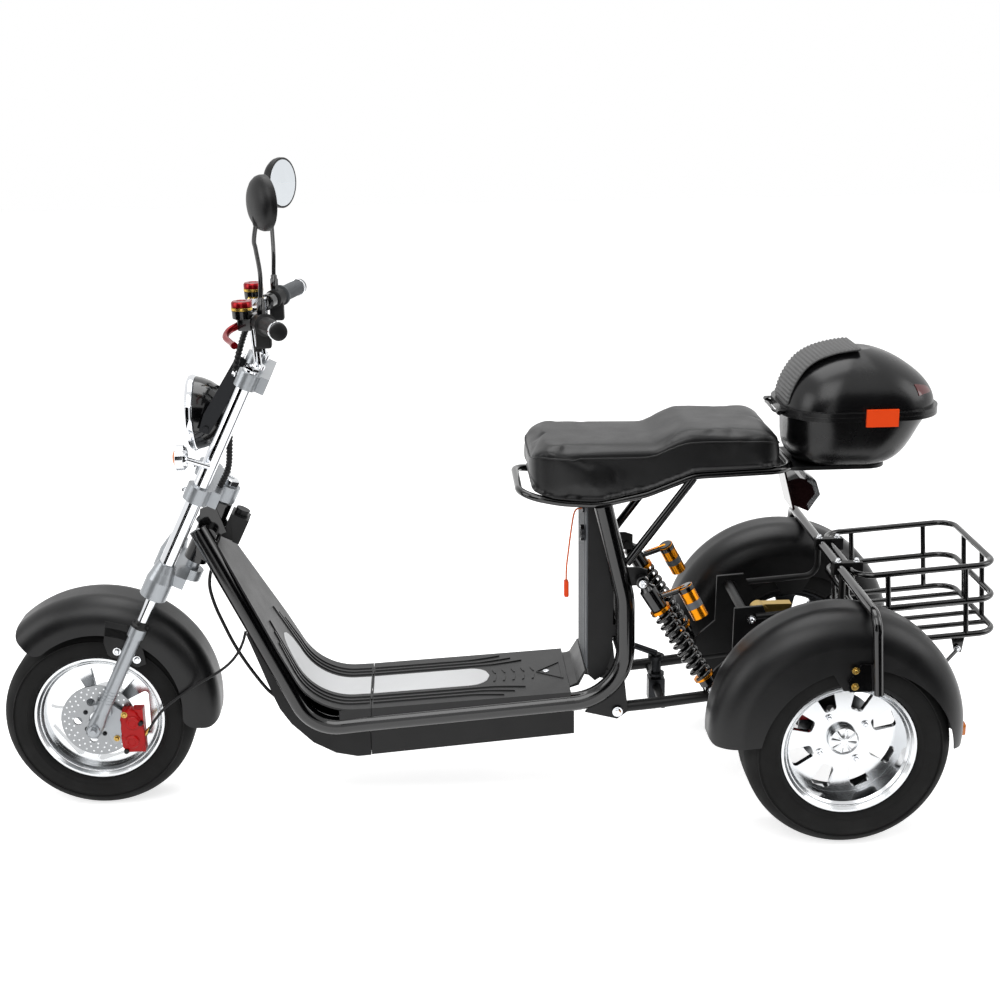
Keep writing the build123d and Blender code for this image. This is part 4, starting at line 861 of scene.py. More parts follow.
# ---------------------------------------------------------------- wheels
@dataclass(kw_only=True)
class WheelDress(Dress):
    """Tread, hub hardware and disc holes of one wheel; its pieces are named after its body."""

    centre: tuple              # mm
    out: int                   # +1 if its face looks to the rider's left
    radius: float
    half: float                # half the tyre's width
    lugs: int                  # shoulder blocks round the tyre
    face_y: float              # wheel face from the centre plane
    disc_y: float = 0          # outer side of the disc from the centre plane, 0 for none
    studs: int = 0             # bolts on the wheel face
    stud_circle: float = 0
    hub_r: float = 0
    shoulder: float = 40.0     # rounding between the tread and the side wall
    lug_high: float = 0.35     # what a lug stands above the CAD tyre
    root: float = 3.0          # how deep it is seated in it
    slant: float = 2.2         # how far it leans round the tyre from station to station
    outer_at: tuple = (0.36, 0.6, 0.8, 0.93)   # stations of a shoulder lug, shares of half
    inner_at: tuple = (0.02, 0.14, 0.28)       # and of a centre block
    outer_fill: float = 0.34   # share of the pitch that a shoulder lug fills
    inner_fill: float = 0.62
    holes: tuple = ((73, 28), (64, 28), (55, 20))   # radius and count of the disc's rows
    screw_circle: float = 33

    def build(self) -> None:
        """Makes all pieces of the wheel."""
        self._tread()
        self._sidewalls()
        if self.studs:
            self._hub()
        if self.disc_y:
            self._disc()

    def _surface(self, a: float) -> float:
        """Radius of the tyre's outer surface.

        Args:
            a: distance from the centre plane, mm.

        Returns:
            The radius, mm.
        """
        arc = self.shoulder
        flat = self.half - 1 - arc
        if abs(a) <= flat:
            return self.radius - 0.4
        return self.radius - 1 - arc + math.sqrt(max(0.0, arc ** 2 - (abs(a) - flat) ** 2))

    def _tread(self) -> None:
        """Shoulder lugs and the centre blocks between the tyre's grooves."""
        pitch = 2 * math.pi * self.radius / self.lugs
        patterns = [(side, *row) for side in (1, -1)
                    for row in ((self.outer_at, self.outer_fill, 0.0),
                                (self.inner_at, self.inner_fill, 180.0 / self.lugs))]
        for index, (side, stations, fill, start) in enumerate(patterns):
            width = pitch * fill / 2
            rings = []
            for k, station in enumerate(stations):
                a = side * self.half * station
                skew = (k - 1) * self.slant
                low, high = self._surface(a) - self.root, self._surface(a) + self.lug_high
                narrow = 0.86 if stations is self.outer_at and k == len(stations) - 1 else 1.0
                rings.append([Vector((low, -width + skew, a)),
                              Vector((high, -width * narrow + 0.8 + skew, a)),
                              Vector((high, width * narrow - 0.8 + skew, a)),
                              Vector((low, width + skew, a))])
            name = f"{self.body}_tread_{index}"
            mesh = PartsRing.mesh(name, Shape().skin(rings), self.lugs, 0.0,
                                  self.trike.at(*self.centre), Vector(Y), TYRE, start, 50)
            put(name, mesh, TYRE, self.body)

    def _sidewalls(self) -> None:
        """Two moulded rings on each side wall."""
        x, y, z = self.centre
        bead = self.half - 4
        shape = Shape()
        for side in (1, -1):
            for radius, away in ((152, bead + 2.6), (self.radius - 24, bead + 2.0)):
                shape.ring((x, y + side * away, z), (0, side, 0),
                           [(-2.2, radius - 2.0), (0.6, radius - 0.9), (0.6, radius + 0.9),
                            (-2.2, radius + 2.0)], 72)
        self.add(shape, f"{self.body}_sidewall_ribs", TYRE, "tyre", 60)

    def _hub(self) -> None:
        """Machined centre cap with eight ribs, and the wheel bolts."""
        x, y, z = self.centre
        face = y + self.out * self.face_y
        reach = self.hub_r - 5
        cap = Shape().lathe((x, face, z), (0, self.out, 0),
                            [(4, self.hub_r), (13.4, self.hub_r), (15, self.hub_r - 3),
                             (14, self.hub_r - 7), (16.5, self.hub_r - 20), (17, 0)], 48)
        for k in range(8):
            a = math.radians(k * 45 + 10)
            cap.tube([(x + 8 * math.cos(a), face + self.out * 14.5, z + 8 * math.sin(a)),
                      (x + reach * math.cos(a), face + self.out * 12.5, z + reach * math.sin(a))],
                     [2.6, 3.6], 8)
        self.add(cap, f"{self.body}_centre_cap", POLISHED, "polished_alloy")
        bolts = Shape()
        for k in range(self.studs):
            a = math.radians(360 / self.studs * (k + 0.5) + 12)
            bolts.bolt((x + self.stud_circle * math.cos(a), y + self.out * (self.face_y + 0.2),
                        z + self.stud_circle * math.sin(a)), (0, self.out, 0), 9.5, 7)
        self.add(bolts, f"{self.body}_wheel_bolts", CHROME, "polished_alloy")

    def _disc(self) -> None:
        """Rows of drilled holes and the carrier bolts of the brake disc."""
        x, y, z = self.centre
        face = y + self.out * self.disc_y
        for index, (radius, count) in enumerate(self.holes):
            name = f"{self.body}_disc_holes_{index}"
            dot = Shape().lathe((0, 0, 0), Z, [(-0.4, 2.1), (0.12, 2.1)], 12)
            mesh = PartsRing.mesh(name, dot, count, radius, self.trike.at(x, face, z),
                                  Vector((0, self.out, 0)), POLISHED, index * 6.0)
            put(name, mesh, POLISHED, self.body)
        screws = Shape()
        for k in range(5):
            a = math.radians(72 * k + 36)
            screws.bolt((x + self.screw_circle * math.cos(a), face,
                         z + self.screw_circle * math.sin(a)), (0, self.out, 0), 6.0, 4)
        self.add(screws, f"{self.body}_disc_screws", DARK_STEEL, "steel")


def wheels(trike: Trike) -> list:
    """The three wheels' dress.

    Args:
        trike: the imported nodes.

    Returns:
        The front wheel, then the two rear ones.
    """
    rear = {"radius": 212, "half": 73, "lugs": 42, "face_y": 1, "studs": 4, "stud_circle": 55,
            "hub_r": 31}
    return [WheelDress(trike, "front_wheel", centre=(1561, 0, 205), out=1, radius=205, half=64,
                       lugs=44, face_y=20, disc_y=58.3),
            *(WheelDress(trike, f"rear_{word}_wheel", centre=(0, side * 285, 212), out=side,
                         **rear) for side, word in SIDES)]


# ---------------------------------------------------------------- fork, lamps and controls
@dataclass
class ForkDress(Dress):
    """Fork hardware: dust wipers, clamp bolts, caliper, lamp, signals and mirrors."""

    body: str = "steering"
    rake: float = 26.0
    leg_y: float = 92.0
    offset: float = 50.4       # legs ahead of the steering axis
    wheel_base: float = 1561.0
    axle_z: float = 205.0
    wiper_at: float = 249      # millimetres up the leg
    clamps_at: tuple = (566, 832)
    nut_at: float = 588
    cap_at: float = 855
    guard_bolts: tuple = ((1505, 371), (1465, 351))
    lamp_at: tuple = (1318.0, 866.0)
    signal_y: float = 130.0
    signal_z: float = 804.0
    mirror_y: float = 150.0    # stem's foot on the bar
    mirror_out: float = 200.0  # middle of the glass

    def leg(self, side: int, along: float, ahead: float = 0.0, out: float = 0.0) -> Vector:
        """Place beside a fork leg.

        Args:
            side: 1 for the rider's left leg, -1 for the other.
            along: millimetres up the leg from the axle.
            ahead: millimetres in front of the leg's middle.
            out: millimetres outwards of it.

        Returns:
            The place.
        """
        s, c = math.sin(math.radians(self.rake)), math.cos(math.radians(self.rake))
        return Vector((self.wheel_base - along * s + ahead * c, side * (self.leg_y + out),
                       self.axle_z + along * c + ahead * s))

    def build(self) -> None:
        """Makes all pieces."""
        self._legs()
        bracket = Shape()
        outline = [(0, 7), (20, 0), (78, 29), (86, 59), (78, 107), (32, 95), (4, 39)]
        for side, word in SIDES:
            bracket.plate(outline, (1446, 80 if side > 0 else -76, 333), X, Z, 4, 0.8)
            self._slider(side, word)
            self._mirror(side, word)
        self.add(bracket, "front_guard_brackets", SATIN_BLACK, "black_paint")
        self._caliper()
        self._lamp()
        self._signals()

    def _legs(self) -> None:
        """Dust wipers, clamp bolts, leg caps and the nut of the steering stem."""
        up = self.leg(1, 1) - self.leg(1, 0)
        ahead = self.leg(1, 0, 1) - self.leg(1, 0)
        wipers, bolts, caps = Shape(), Shape(), Shape()
        for side in (1, -1):
            wipers.ring(self.leg(side, self.wiper_at), up,
                        [(0, 11.5), (0, 18.4), (5, 18.6), (8, 15), (14, 14), (16, 11.5)])
            for along in self.clamps_at:
                bolts.bolt(self.leg(side, along, 26, -4), ahead, 8, 6)
            caps.lathe(self.leg(side, self.cap_at), up,
                       [(0, 16.5), (6, 16.5), (8, 14), (8, 8), (6, 7)], 6)
            for x, z in self.guard_bolts:
                bolts.bolt((x, side * 80.4, z), (0, side, 0), 10, 6)
        self.add(wipers, "fork_dust_wipers", BLACK_RUBBER, "rubber")
        self.add(bolts, "fork_clamp_bolts", CHROME, "chrome")
        self.add(caps, "fork_leg_caps", CHROME, "chrome")
        stem = self.leg(1, self.nut_at, -self.offset)
        nut = Shape().lathe((stem.x, 0, stem.z), up,
                            [(0, 21), (12, 21), (14, 17), (14, 8), (10, 8)], 6)
        self.add(nut, "steering_stem_nut", CHROME, "chrome")

    def _slider(self, side: int, word: str) -> None:
        """Axle boss and cast ribs at the foot of one leg.

        Args:
            side: 1 for the rider's left, -1 for the right.
            word: the same side in the piece's name.
        """
        shape = Shape()
        shape.lathe(self.leg(side, -24), self.leg(side, 0) - self.leg(side, -24),
                    [(0, 9), (4, 14), (12, 17), (38, 17.5), (52, 15.2), (60, 14.7)], 36)
        for k in range(5):
            shape.ring(self.leg(side, 62 + 7 * k), self.leg(side, 1) - self.leg(side, 0),
                       [(0, 14.3), (0, 15.4), (3, 15.4), (3, 14.3)], 36)
        self.add(shape, f"slider_foot_{word}", SILVER, "silver_paint")

    def _caliper(self) -> None:
        """Red front caliper with its bores, black caps, bolts and bleed nipple."""
        outline = [(10, 2), (38, 0), (50, 12), (52, 38), (46, 58), (52, 76), (44, 96), (30, 102),
                   (16, 94), (8, 76), (2, 52), (0, 24)]
        self.add(Shape().plate(outline, (1460, 84, 138), X, Z, 22, 4),
                 "front_caliper_body", RED, "red_anodised")
        bores, caps, bolts = Shape(), Shape(), Shape()
        for x, z in ((1488, 164), (1484, 208)):
            bores.lathe((x, 83, z), Y, [(0, 15), (3.4, 15), (5, 13), (5, 9), (3.6, 8)], 28)
        self.add(bores, "front_caliper_bores", RED, "red_anodised")
        for x, z in ((1502, 142), (1468, 206)):
            caps.lathe((x, 66, z), Y, [(0, 6), (18, 6), (22, 5), (22, 3)], 16)
        self.add(caps, "front_caliper_caps", BLACK_RUBBER, "red_anodised")
        for x, y, z in ((1501, 84.5, 227), (1523, 71, 167), (1540, 71, 240)):
            bolts.bolt((x, y, z), Y, 8, 5)
        bolts.lathe((1463, 72, 174), (-0.6, 0, 0.8), [(0, 4.4), (10, 4.4), (10, 3.6), (20, 3.6)],
                    12)
        self.add(bolts, "front_caliper_bolts", ZINC, "zinc")

    def _mirror(self, side: int, word: str) -> None:
        """Domed mirror shell on its bent stem; the shell starts behind the glass.

        Args:
            side: 1 for the rider's left, -1 for the right.
            word: the same side in the pieces' names.
        """
        root = BarDress(self.trike).at(side, self.mirror_y)
        turn = math.radians(28)
        back = Vector((math.cos(turn), side * math.sin(turn), 0))
        centre = Vector((root.x - 20, side * self.mirror_out, root.z + 238))
        shell = Shape().lathe(centre, back, [
            (-2.4, 0), (-2.4, 48.8), (-7, 49.6), (-7.5, 51), (-6, 53), (2, 53), (8, 51), (14, 46),
            (19, 38), (22.5, 27), (24, 14), (24.3, 0)], 56)
        shell.lathe(centre + back * 15 + Vector((0, 0, -34)), Z,
                    [(-8, 6), (-6, 7.5), (8, 9), (20, 6)], 20)
        shell = self.add(shell, f"mirror_shell_{word}", SATIN_BLACK, "black_plastic", 50)
        run = curve_points([(root.x, root.y, root.z + 19), (root.x, root.y, root.z + 50),
                            (root.x - 2, side * 151, root.z + 96),
                            (root.x + 1, side * 178, root.z + 148),
                            (root.x + 2, side * 190, root.z + 168),
                            centre + back * 15 + Vector((0, 0, -30))], 8)
        stem = Shape().tube(run, 4.5, 14)
        stem.lathe(run[0], Z, [(-2, 9), (22, 9), (24, 7), (30, 7), (32, 5)], 6)
        self.add(stem, f"mirror_stem_{word}", GLOSS_BLACK, "black_paint", 50)
        if side > 0:
            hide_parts("mirrors")

    def _lamp(self) -> None:
        """Hollow rear shell, chrome rim, reflector and light unit of the headlamp."""
        x, z = self.lamp_at
        middle = (x, 0, z)
        bowl = Shape().lathe(middle, X, [
            (-74, 0), (-73.5, 14), (-70, 28), (-62, 43), (-50, 56), (-36, 65.5), (-20, 72.5),
            (-6, 76), (-4, 73), (-20, 70.5), (-36, 63.5), (-50, 54), (-60, 41), (-68, 26),
            (-71, 0)], 72)
        bowl = self.add(bowl, "headlamp_bowl", GLOSS_BLACK, "black_paint", 60)
        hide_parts("headlamp_shell")
        rim = Shape().ring(middle, X, [(-5, 75), (-3, 78.5), (2, 80), (9, 78), (12, 73.5),
                                       (6, 71.5), (-4, 72)], 72)
        self.add(rim, "headlamp_chrome_rim", CHROME, "chrome")
        mirror = Shape().ring(middle, X, [(0, 71), (-14, 66), (-34, 50), (-46, 24), (-47, 24),
                                          (-36, 51), (-16, 67), (-2, 71.4)], 64)
        self.add(mirror, "headlamp_reflector", POLISHED, "polished_alloy")
        unit = Shape().block((x - 44, -26, z - 14), (x - 18, 26, z + 14), 3)
        for k in range(3):
            unit.lathe((x - 19, -16 + 16 * k, z), X, [(0, 7), (3, 6.4), (6, 3.5), (6.6, 0)], 20)
        self.add(unit, "headlamp_light_unit", PANEL_GREY, "grey_plastic")

    def _signals(self) -> None:
        """Amber lens and chrome collar of each turn signal."""
        for side, word in SIDES:
            y = side * self.signal_y
            lens = Shape().lathe((1342.5, y, self.signal_z), X,
                                 [(-4, 20.5), (0, 20), (4, 16), (7, 9), (8, 0)], 36)
            self.add(lens, f"signal_lens_{word}", AMBER, "lens")
            collar = Shape().ring((1336, y, self.signal_z), X,
                                  [(-10, 24.8), (-9, 26), (6, 26), (7.5, 23), (6, 20), (-2, 20)],
                                  40)
            self.add(collar, f"signal_collar_{word}", CHROME, "chrome")


@dataclass
class BarDress(Dress):
    """Hand controls, grips and their fittings."""

    body: str = "steering"
    bend: tuple = (1182.0, 70.0, 1074.0)       # where the left straight end of the bar begins
    end: tuple = (1110.0, 277.0, 1082.0)       # and where it ends
    pivot_y: float = 118.0                     # brake pots and lever pivots

    def at(self, side: int, y: float) -> Vector:
        """Place on the bar's middle line.

        Args:
            side: 1 for the rider's left, -1 for the right.
            y: millimetres from the middle of the tricycle.

        Returns:
            The place.
        """
        (x0, y0, z0), (x1, y1, z1) = self.bend, self.end
        share = (y - y0) / (y1 - y0)
        return Vector((x0 + (x1 - x0) * share, side * y, z0 + (z1 - z0) * share))

    def build(self) -> None:
        """Makes all pieces."""
        switches, pots, bands, lids, clamps = (Shape() for _ in range(5))
        for side, word in SIDES:
            out = (self.at(side, 200) - self.at(side, 100)).normalized()
            self._grip(side, word, out)
            self._switch(switches, side, out)
            x, y, z = middle = self.at(side, self.pivot_y)
            clamps.lathe(self.at(side, 106), out, [(0, 14), (1.5, 17), (22, 17), (24, 14)], 28)
            clamps.block((x + 10, min(side * 107, side * 129), z - 18),
                         (x + 40, max(side * 107, side * 129), z + 8), 5)
            pot = (x + 30, y)
            pots.lathe((*pot, z + 4), Z, [(0, 14), (3, 19.5), (18, 20.5), (19, 18), (19, 6)], 40)
            bands.lathe((*pot, z + 23), Z, [(0, 19), (0.5, 21), (5.5, 21), (6, 19)], 40)
            lids.lathe((*pot, z + 29), Z, [(0, 18), (1, 20.6), (9, 20.6), (12, 18.5), (12.5, 10),
                                           (11.5, 9.5), (11.5, 0)], 40)
            self._lever(side, word, middle)
        self.add(switches, "bar_switch_housings", MATT_PLASTIC, "black_plastic")
        self.add(clamps, "master_cylinder_clamps", GLOSS_BLACK, "black_plastic")
        self.add(pots, "brake_fluid_pots", GLOSS_BLACK, "black_plastic")
        self.add(bands, "brake_pot_bands", GOLD, "zinc")
        self.add(lids, "brake_pot_lids", RED_METAL, "red_anodised")
        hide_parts("bar_controls")

    def _switch(self, shape: Shape, side: int, out: Vector) -> None:
        """Switch housing that hangs from its collar on the bar.

        Args:
            shape: where it is added.
            side: 1 for the rider's left, -1 for the right.
            out: direction along the bar, outwards.
        """
        shape.lathe(self.at(side, 138), out, [(0, 15), (2, 19), (30, 19.5), (34, 15)], 32)
        x, _, z = self.at(side, 155)
        y0, y1 = sorted((side * 142, side * 168))
        shape.block((x - 16, y0, z - 48), (x + 14, y1, z - 4), 5)
        shape.lathe((x + 2, side * 155, z - 4), (0.2, 0, -1), [(44, 8), (50, 8), (52, 6), (52, 0)],
                    20)

    def _lever(self, side: int, word: str, pivot: Vector) -> bpy.types.Object:
        """Brake lever that thickens at its tip.

        Args:
            side: 1 for the rider's left, -1 for the right.
            word: the same side in the piece's name.
            pivot: place on the bar behind its pivot.

        Returns:
            The piece.
        """
        x, _, z = pivot
        blade = curve_points([(x + 38, side * 112, z - 8), (x + 56, side * 128, z - 16),
                              (x + 60, side * 160, z - 23), (x + 46, side * 200, z - 26),
                              (x + 35, side * 234, z - 26)], 6)
        count = len(blade)
        radii = [7.5 - 2.6 * k / count + (1.8 if k > count - 4 else 0) for k in range(count)]
        return self.add(Shape().tube(blade, radii, 14), f"brake_lever_{word}",
                        RED_METAL if side > 0 else DARK_STEEL, "red_anodised")

    def _grip(self, side: int, word: str, out: Vector) -> None:
        """Ribbed rubber grip with its flange and end ring.

        Args:
            side: 1 for the rider's left, -1 for the right.
            word: the same side in the pieces' names.
            out: direction along the bar, outwards.
        """
        start, end = self.at(side, 176), self.end[1]
        length = (self.at(side, end) - start).length
        profile = [(0, 12), (0, 22), (4, 22.6), (6, 17)]
        groove = 8.0
        while groove < length - 12:
            profile += [(groove, 16.8), (groove + 0.8, 15.6), (groove + 2.4, 15.6),
                        (groove + 3.2, 16.8)]
            groove += 6.0
        profile += [(length - 8, 17), (length - 2, 17), (length, 14), (length, 0)]
        # Painted shade: the near (left) grip gets black rubber while the far one stays grey,
        # standing for the shadow it lies in.
        grip = self.add(Shape().lathe(start, out, profile, 36), f"grip_{word}",
                        BLACK_RUBBER if side > 0 else GRIP_GREY, "grey_rubber")
        if side > 0:
            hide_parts("grips")
        ring = Shape().ring(self.at(side, end - 16), out,
                            [(0, 16.5), (0.5, 18.4), (6.5, 18.4), (7, 16.5)], 36)
        self.add(ring, f"grip_end_ring_{word}", CHROME, "chrome")


# ---------------------------------------------------------------- footboard
@dataclass
class DeckDress(Dress):
    """Pale stripe, raised ribs and moulded marks of the footboard, on the sheet and its lid."""

    seam: tuple = (972.0, 242.0)
    rear: tuple = (546.0, 264.0)
    bend: tuple = (1089.0, 239.0)
    top: tuple = (1281.0, 596.0)
    bend_r: float = 130.0
    lid_end: float = 968.5     # where the lid's strips stop before the hinge
    sheet_start: float = 975.5
    tip: float = 1222.0        # front end of the stripe
    end: float = 715.0         # rear end of the stripe
    half: float = 47.0         # half its width
    round_r: float = 44.0      # rounding of its rear end
    taper: float = 80.0        # length of its pointed front end
    rib_y: float = 62.0        # middle of the rib next to the stripe
    rib_pitch: float = 17.0
    rib_half: float = 3.6      # half its width
    rib_high: float = 2.4
    lid_ribs: float = 640.0    # rear end of the lid's innermost rib

    def path(self, x: float) -> tuple:
        """Place and upward direction of the floor at a fore-and-aft station.

        Args:
            x: millimetres ahead of the rear axle; along the floor line ahead of the bend.

        Returns:
            (x, z) on the surface and the (x, z) direction out of it.
        """
        seam, bend = Vector(self.seam), Vector(self.bend)
        if x <= seam.x:
            slope = (self.rear[1] - self.seam[1]) / (self.rear[0] - self.seam[0])
            return (x, self.seam[1] + (x - self.seam[0]) * slope), Vector((-slope, 1)).normalized()
        one = Vector((self.bend[0] - self.seam[0], self.bend[1] - self.seam[1])).normalized()
        two = Vector((self.top[0] - self.bend[0], self.top[1] - self.bend[1])).normalized()
        turn = one.angle(two)
        cut = self.bend_r * math.tan(turn / 2)
        first = (bend - seam).length - cut
        s = x - self.seam[0]
        arc = self.bend_r * turn
        if s <= first:
            p = seam + one * s
            return (p.x, p.y), Vector((-one.y, one.x))
        if s <= first + arc:
            a = (s - first) / self.bend_r
            inwards = Vector((-one.y, one.x))
            n = Vector((-inwards.x * math.cos(a) + inwards.y * math.sin(a),
                        -inwards.x * math.sin(a) - inwards.y * math.cos(a)))
            p = bend - one * cut + inwards * self.bend_r + n * self.bend_r
            return (p.x, p.y), -n
        p = bend + two * (cut + s - first - arc)
        return (p.x, p.y), Vector((-two.y, two.x))

    def strip(self, shape: Shape, rows: list, low: float, high: float) -> None:
        """Raised strip that follows the floor.

        Args:
            shape: where it is added.
            rows: (station, inner y, outer y) in order.
            low: depth of its underside below the surface.
            high: height of its top.
        """
        rings = []
        for s, y0, y1 in rows:
            (x, z), n = self.path(s)
            inset = min(1.2, abs(y1 - y0) / 4) * (1 if y1 > y0 else -1)
            rings.append([Vector((x + n.x * h, y, z + n.y * h))
                          for y, h in ((y0, -low), (y0 + inset, high), (y1 - inset, high),
                                       (y1, -low))])
        shape.skin(rings)

    def build(self) -> None:
        """Makes the stripe, ribs and marks on the lid, then on the sheet, and the lid's lock."""
        for name, body, lo, hi in (("lid", "battery_lid", self.end, self.lid_end),
                                   ("sheet", "frame", self.sheet_start, self.tip)):
            stripe, ribs = Shape(), Shape()
            self._stripe(stripe, lo, hi)
            self.add(stripe, f"floor_stripe_{name}", WHITE, "black_plastic", body=body)
            if name == "lid":
                self._lid_ribs(ribs)
                self._marks(ribs)
            else:
                self._sheet_ribs(ribs)
            self.add(ribs, f"floor_ribs_{name}", DECK_RUBBER, "black_plastic", body=body)
        (x, z), n = self.path(590)
        lock = Shape().lathe((x, 0, z), (n.x, 0, n.y),
                             [(0, 7), (1.4, 7), (2, 6), (2, 2.4), (1.2, 2.2)], 24)
        self.add(lock, "floor_lid_lock", CHROME, "steel", body="battery_lid")

    def _stripe(self, shape: Shape, lo: float, hi: float) -> None:
        """Pale stripe between two stations, rounded at its rear end, pointed at its front.

        Args:
            shape: where it is added.
            lo: first station.
            hi: last station.
        """
        rows = []
        for k in range(41):
            s = lo + (hi - lo) * k / 40
            half = self.half
            if s < self.end + self.round_r:
                rest = self.end + self.round_r - s
                half = max(2.0, math.sqrt(max(0.0, self.round_r ** 2 - rest ** 2)) + 3)
            if s > self.tip - self.taper:
                share = (self.tip - s) / self.taper
                half = max(2.0, self.half * math.sqrt(max(0.0, 1 - (1 - share) ** 2)))
            rows.append((s, -half, half))
        self.strip(shape, rows, 0.6, 0.9)

    def _rib(self, shape: Shape, side: int, index: int, start: float, stop: float,
             swing: Callable[[float], float]) -> None:
        """One long rib beside the stripe.

        Args:
            shape: where it is added.
            side: 1 for the rider's left, -1 for the right.
            index: 0 for the rib next to the stripe.
            start: first station.
            stop: last station.
            swing: how far outwards it lies at a station.
        """
        y = self.rib_y + self.rib_pitch * index
        rows = []
        for k in range(49):
            s = start + (stop - start) * k / 48
            yy = y + swing(s)
            rows.append((s, side * (yy - self.rib_half), side * (yy + self.rib_half)))
        self.strip(shape, rows, 0.8, self.rib_high)

    def _lid_ribs(self, shape: Shape) -> None:
        """Ribs of the lid, which swing outwards at their rear ends.

        Args:
            shape: where they are added.
        """
        for side in (1, -1):
            for index in range(3):
                start = self.lid_ribs + 24.0 * index
                self._rib(shape, side, index, start, self.lid_end, lambda s: (
                    13 * (1 - (s - start) / 70) ** 1.3 if s < start + 70 else 0.0))

    def _sheet_ribs(self, shape: Shape) -> None:
        """Ribs of the fixed sheet, which close in at the front.

        Args:
            shape: where they are added.
        """
        for side in (1, -1):
            for index in range(3):
                self._rib(shape, side, index, self.sheet_start, self.tip + 52 - 22 * index,
                          lambda s: (-(s - self.tip + 60) * (0.16 + 0.06 * index)
                                     if s > self.tip - 60 else 0.0))

    def _marks(self, shape: Shape) -> None:
        """Five pairs of bars and a triangle behind the stripe.

        Args:
            shape: where they are added.
        """
        for k in range(5):
            x = 700 - 21 * k
            for side in (1, -1):
                self.strip(shape, [(x, side * 8, side * 10), (x + 3, side * 9, side * 34),
                                   (x + 8, side * 26, side * 36)], 0.6, 1.6)
        for y in (-46, 46):
            rows = [(557 + 55 * k / 10, y * (1 - k / 10) - 2, y * (1 - k / 10) + 2)
                    for k in range(11)]
            self.strip(shape, rows, 0.6, 1.8)
        self.strip(shape, [(555, -48, 48), (559, -46, 46)], 0.6, 1.8)


# ---------------------------------------------------------------- seat and pad
@dataclass
class SeatCushion(Dress):
    """Long two-level seat: vinyl blown out over foam, with piping along its side seam."""

    voxel: float = 0.0065      # m
    cap: float = 0.007         # m that a point may be blown outwards
    shrink: float = 0.0025     # m that it is drawn in before
    pressure: float = 4.0
    frames: int = 20
    flat: float = -0.45        # faces that look down more than this stay where they are
    welt: float = 2.1          # radius of the piping, mm
    seam: tuple = ((636, 40, 772), (633, 96, 776), (612, 128, 782), (560, 137, 781),
                   (500, 138, 780), (420, 138, 779), (380, 138, 781), (340, 138, 796),
                   (306, 138, 806), (240, 138, 808), (160, 138, 807), (118, 130, 803),
                   (104, 100, 799), (102, 40, 798))

    def build(self) -> None:
        """Puffs up a copy of the seat's solid and adds the piping."""
        source = self.trike.nodes["seat_cushion"].data.copy()
        bm = bmesh.new()
        bm.from_mesh(source)
        bmesh.ops.remove_doubles(bm, verts=bm.verts, dist=0.00002)
        bmesh.ops.recalc_face_normals(bm, faces=bm.faces)
        bm.to_mesh(source)
        bm.free()
        holder = show("seat_foam", source)
        remesh = holder.modifiers.new("voxels", "REMESH")
        remesh.mode = "VOXEL"
        remesh.voxel_size = self.voxel
        soften = holder.modifiers.new("soften", "SMOOTH")
        soften.iterations = 12
        soften.factor = 0.5
        foam = baked(holder)
        foam = self._blow(foam)
        foam.name = "seat_vinyl"
        smooth(foam)
        tree = nearest(foam)
        piece = put("seat_vinyl", foam, VINYL, self.body)
        level = piece.modifiers.new("round", "SUBSURF")
        level.levels = 1
        level.render_levels = 1
        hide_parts("seat_cushion")
        self._piping(tree)

    def _blow(self, foam: bpy.types.Mesh) -> bpy.types.Mesh:
        """Short cloth run under pressure, with a cap on how far a point may go.

        Args:
            foam: the skin before the run.

        Returns:
            The blown skin.
        """
        rest = [v.co.copy() for v in foam.vertices]
        normals = [v.normal.copy() for v in foam.vertices]
        for v, n in zip(foam.vertices, normals):
            v.co -= n * self.shrink
        start = [v.co.copy() for v in foam.vertices]
        holder = show("seat_blown", foam)
        cloth = holder.modifiers.new("cloth", "CLOTH")
        cloth.settings.quality = 5
        cloth.settings.mass = 0.3
        cloth.settings.tension_stiffness = 12
        cloth.settings.compression_stiffness = 12
        cloth.settings.use_pressure = True
        cloth.settings.uniform_pressure_force = self.pressure
        cloth.settings.effector_weights.gravity = 0.0
        cloth.collision_settings.use_self_collision = False
        scene = bpy.context.scene
        for frame in range(1, self.frames + 1):
            scene.frame_set(frame)
        blown = baked(holder)
        scene.frame_set(1)
        for v, before, here, n in zip(blown.vertices, start, rest, normals):
            if n.z < self.flat:
                v.co = here
                continue
            move = v.co - before
            if move.length > self.cap:
                move = move.normalized() * self.cap
            v.co = before + move
        return blown

    def _piping(self, tree: BVHTree) -> None:
        """Welted seam that runs round the seat below its top.

        Args:
            tree: search tree of the skin.
        """
        loop = [*self.seam, *((x, -y, z) for x, y, z in self.seam[::-1])]
        zero = self.trike.at(0, 0, 0)
        spots = []
        for p in curve_points(loop + [loop[0]], 8)[:-1]:
            found, normal, _, _ = tree.find_nearest(zero + p * MM)
            spots.append((found - zero) / MM + normal * 0.4)
        rings = []
        for i, spot in enumerate(spots):
            ahead = (spots[(i + 1) % len(spots)] - spots[i - 1]).normalized()
            up = Vector(Z)
            up = (up - ahead * up.dot(ahead)).normalized()
            out = ahead.cross(up)
            rings.append([spot + (out * math.cos(k * math.pi / 4) + up * math.sin(k * math.pi / 4))
                          * self.welt for k in range(8)])
        self.add(Shape().skin(rings, loop=True), "seat_piping", VINYL, "leatherette", 80)


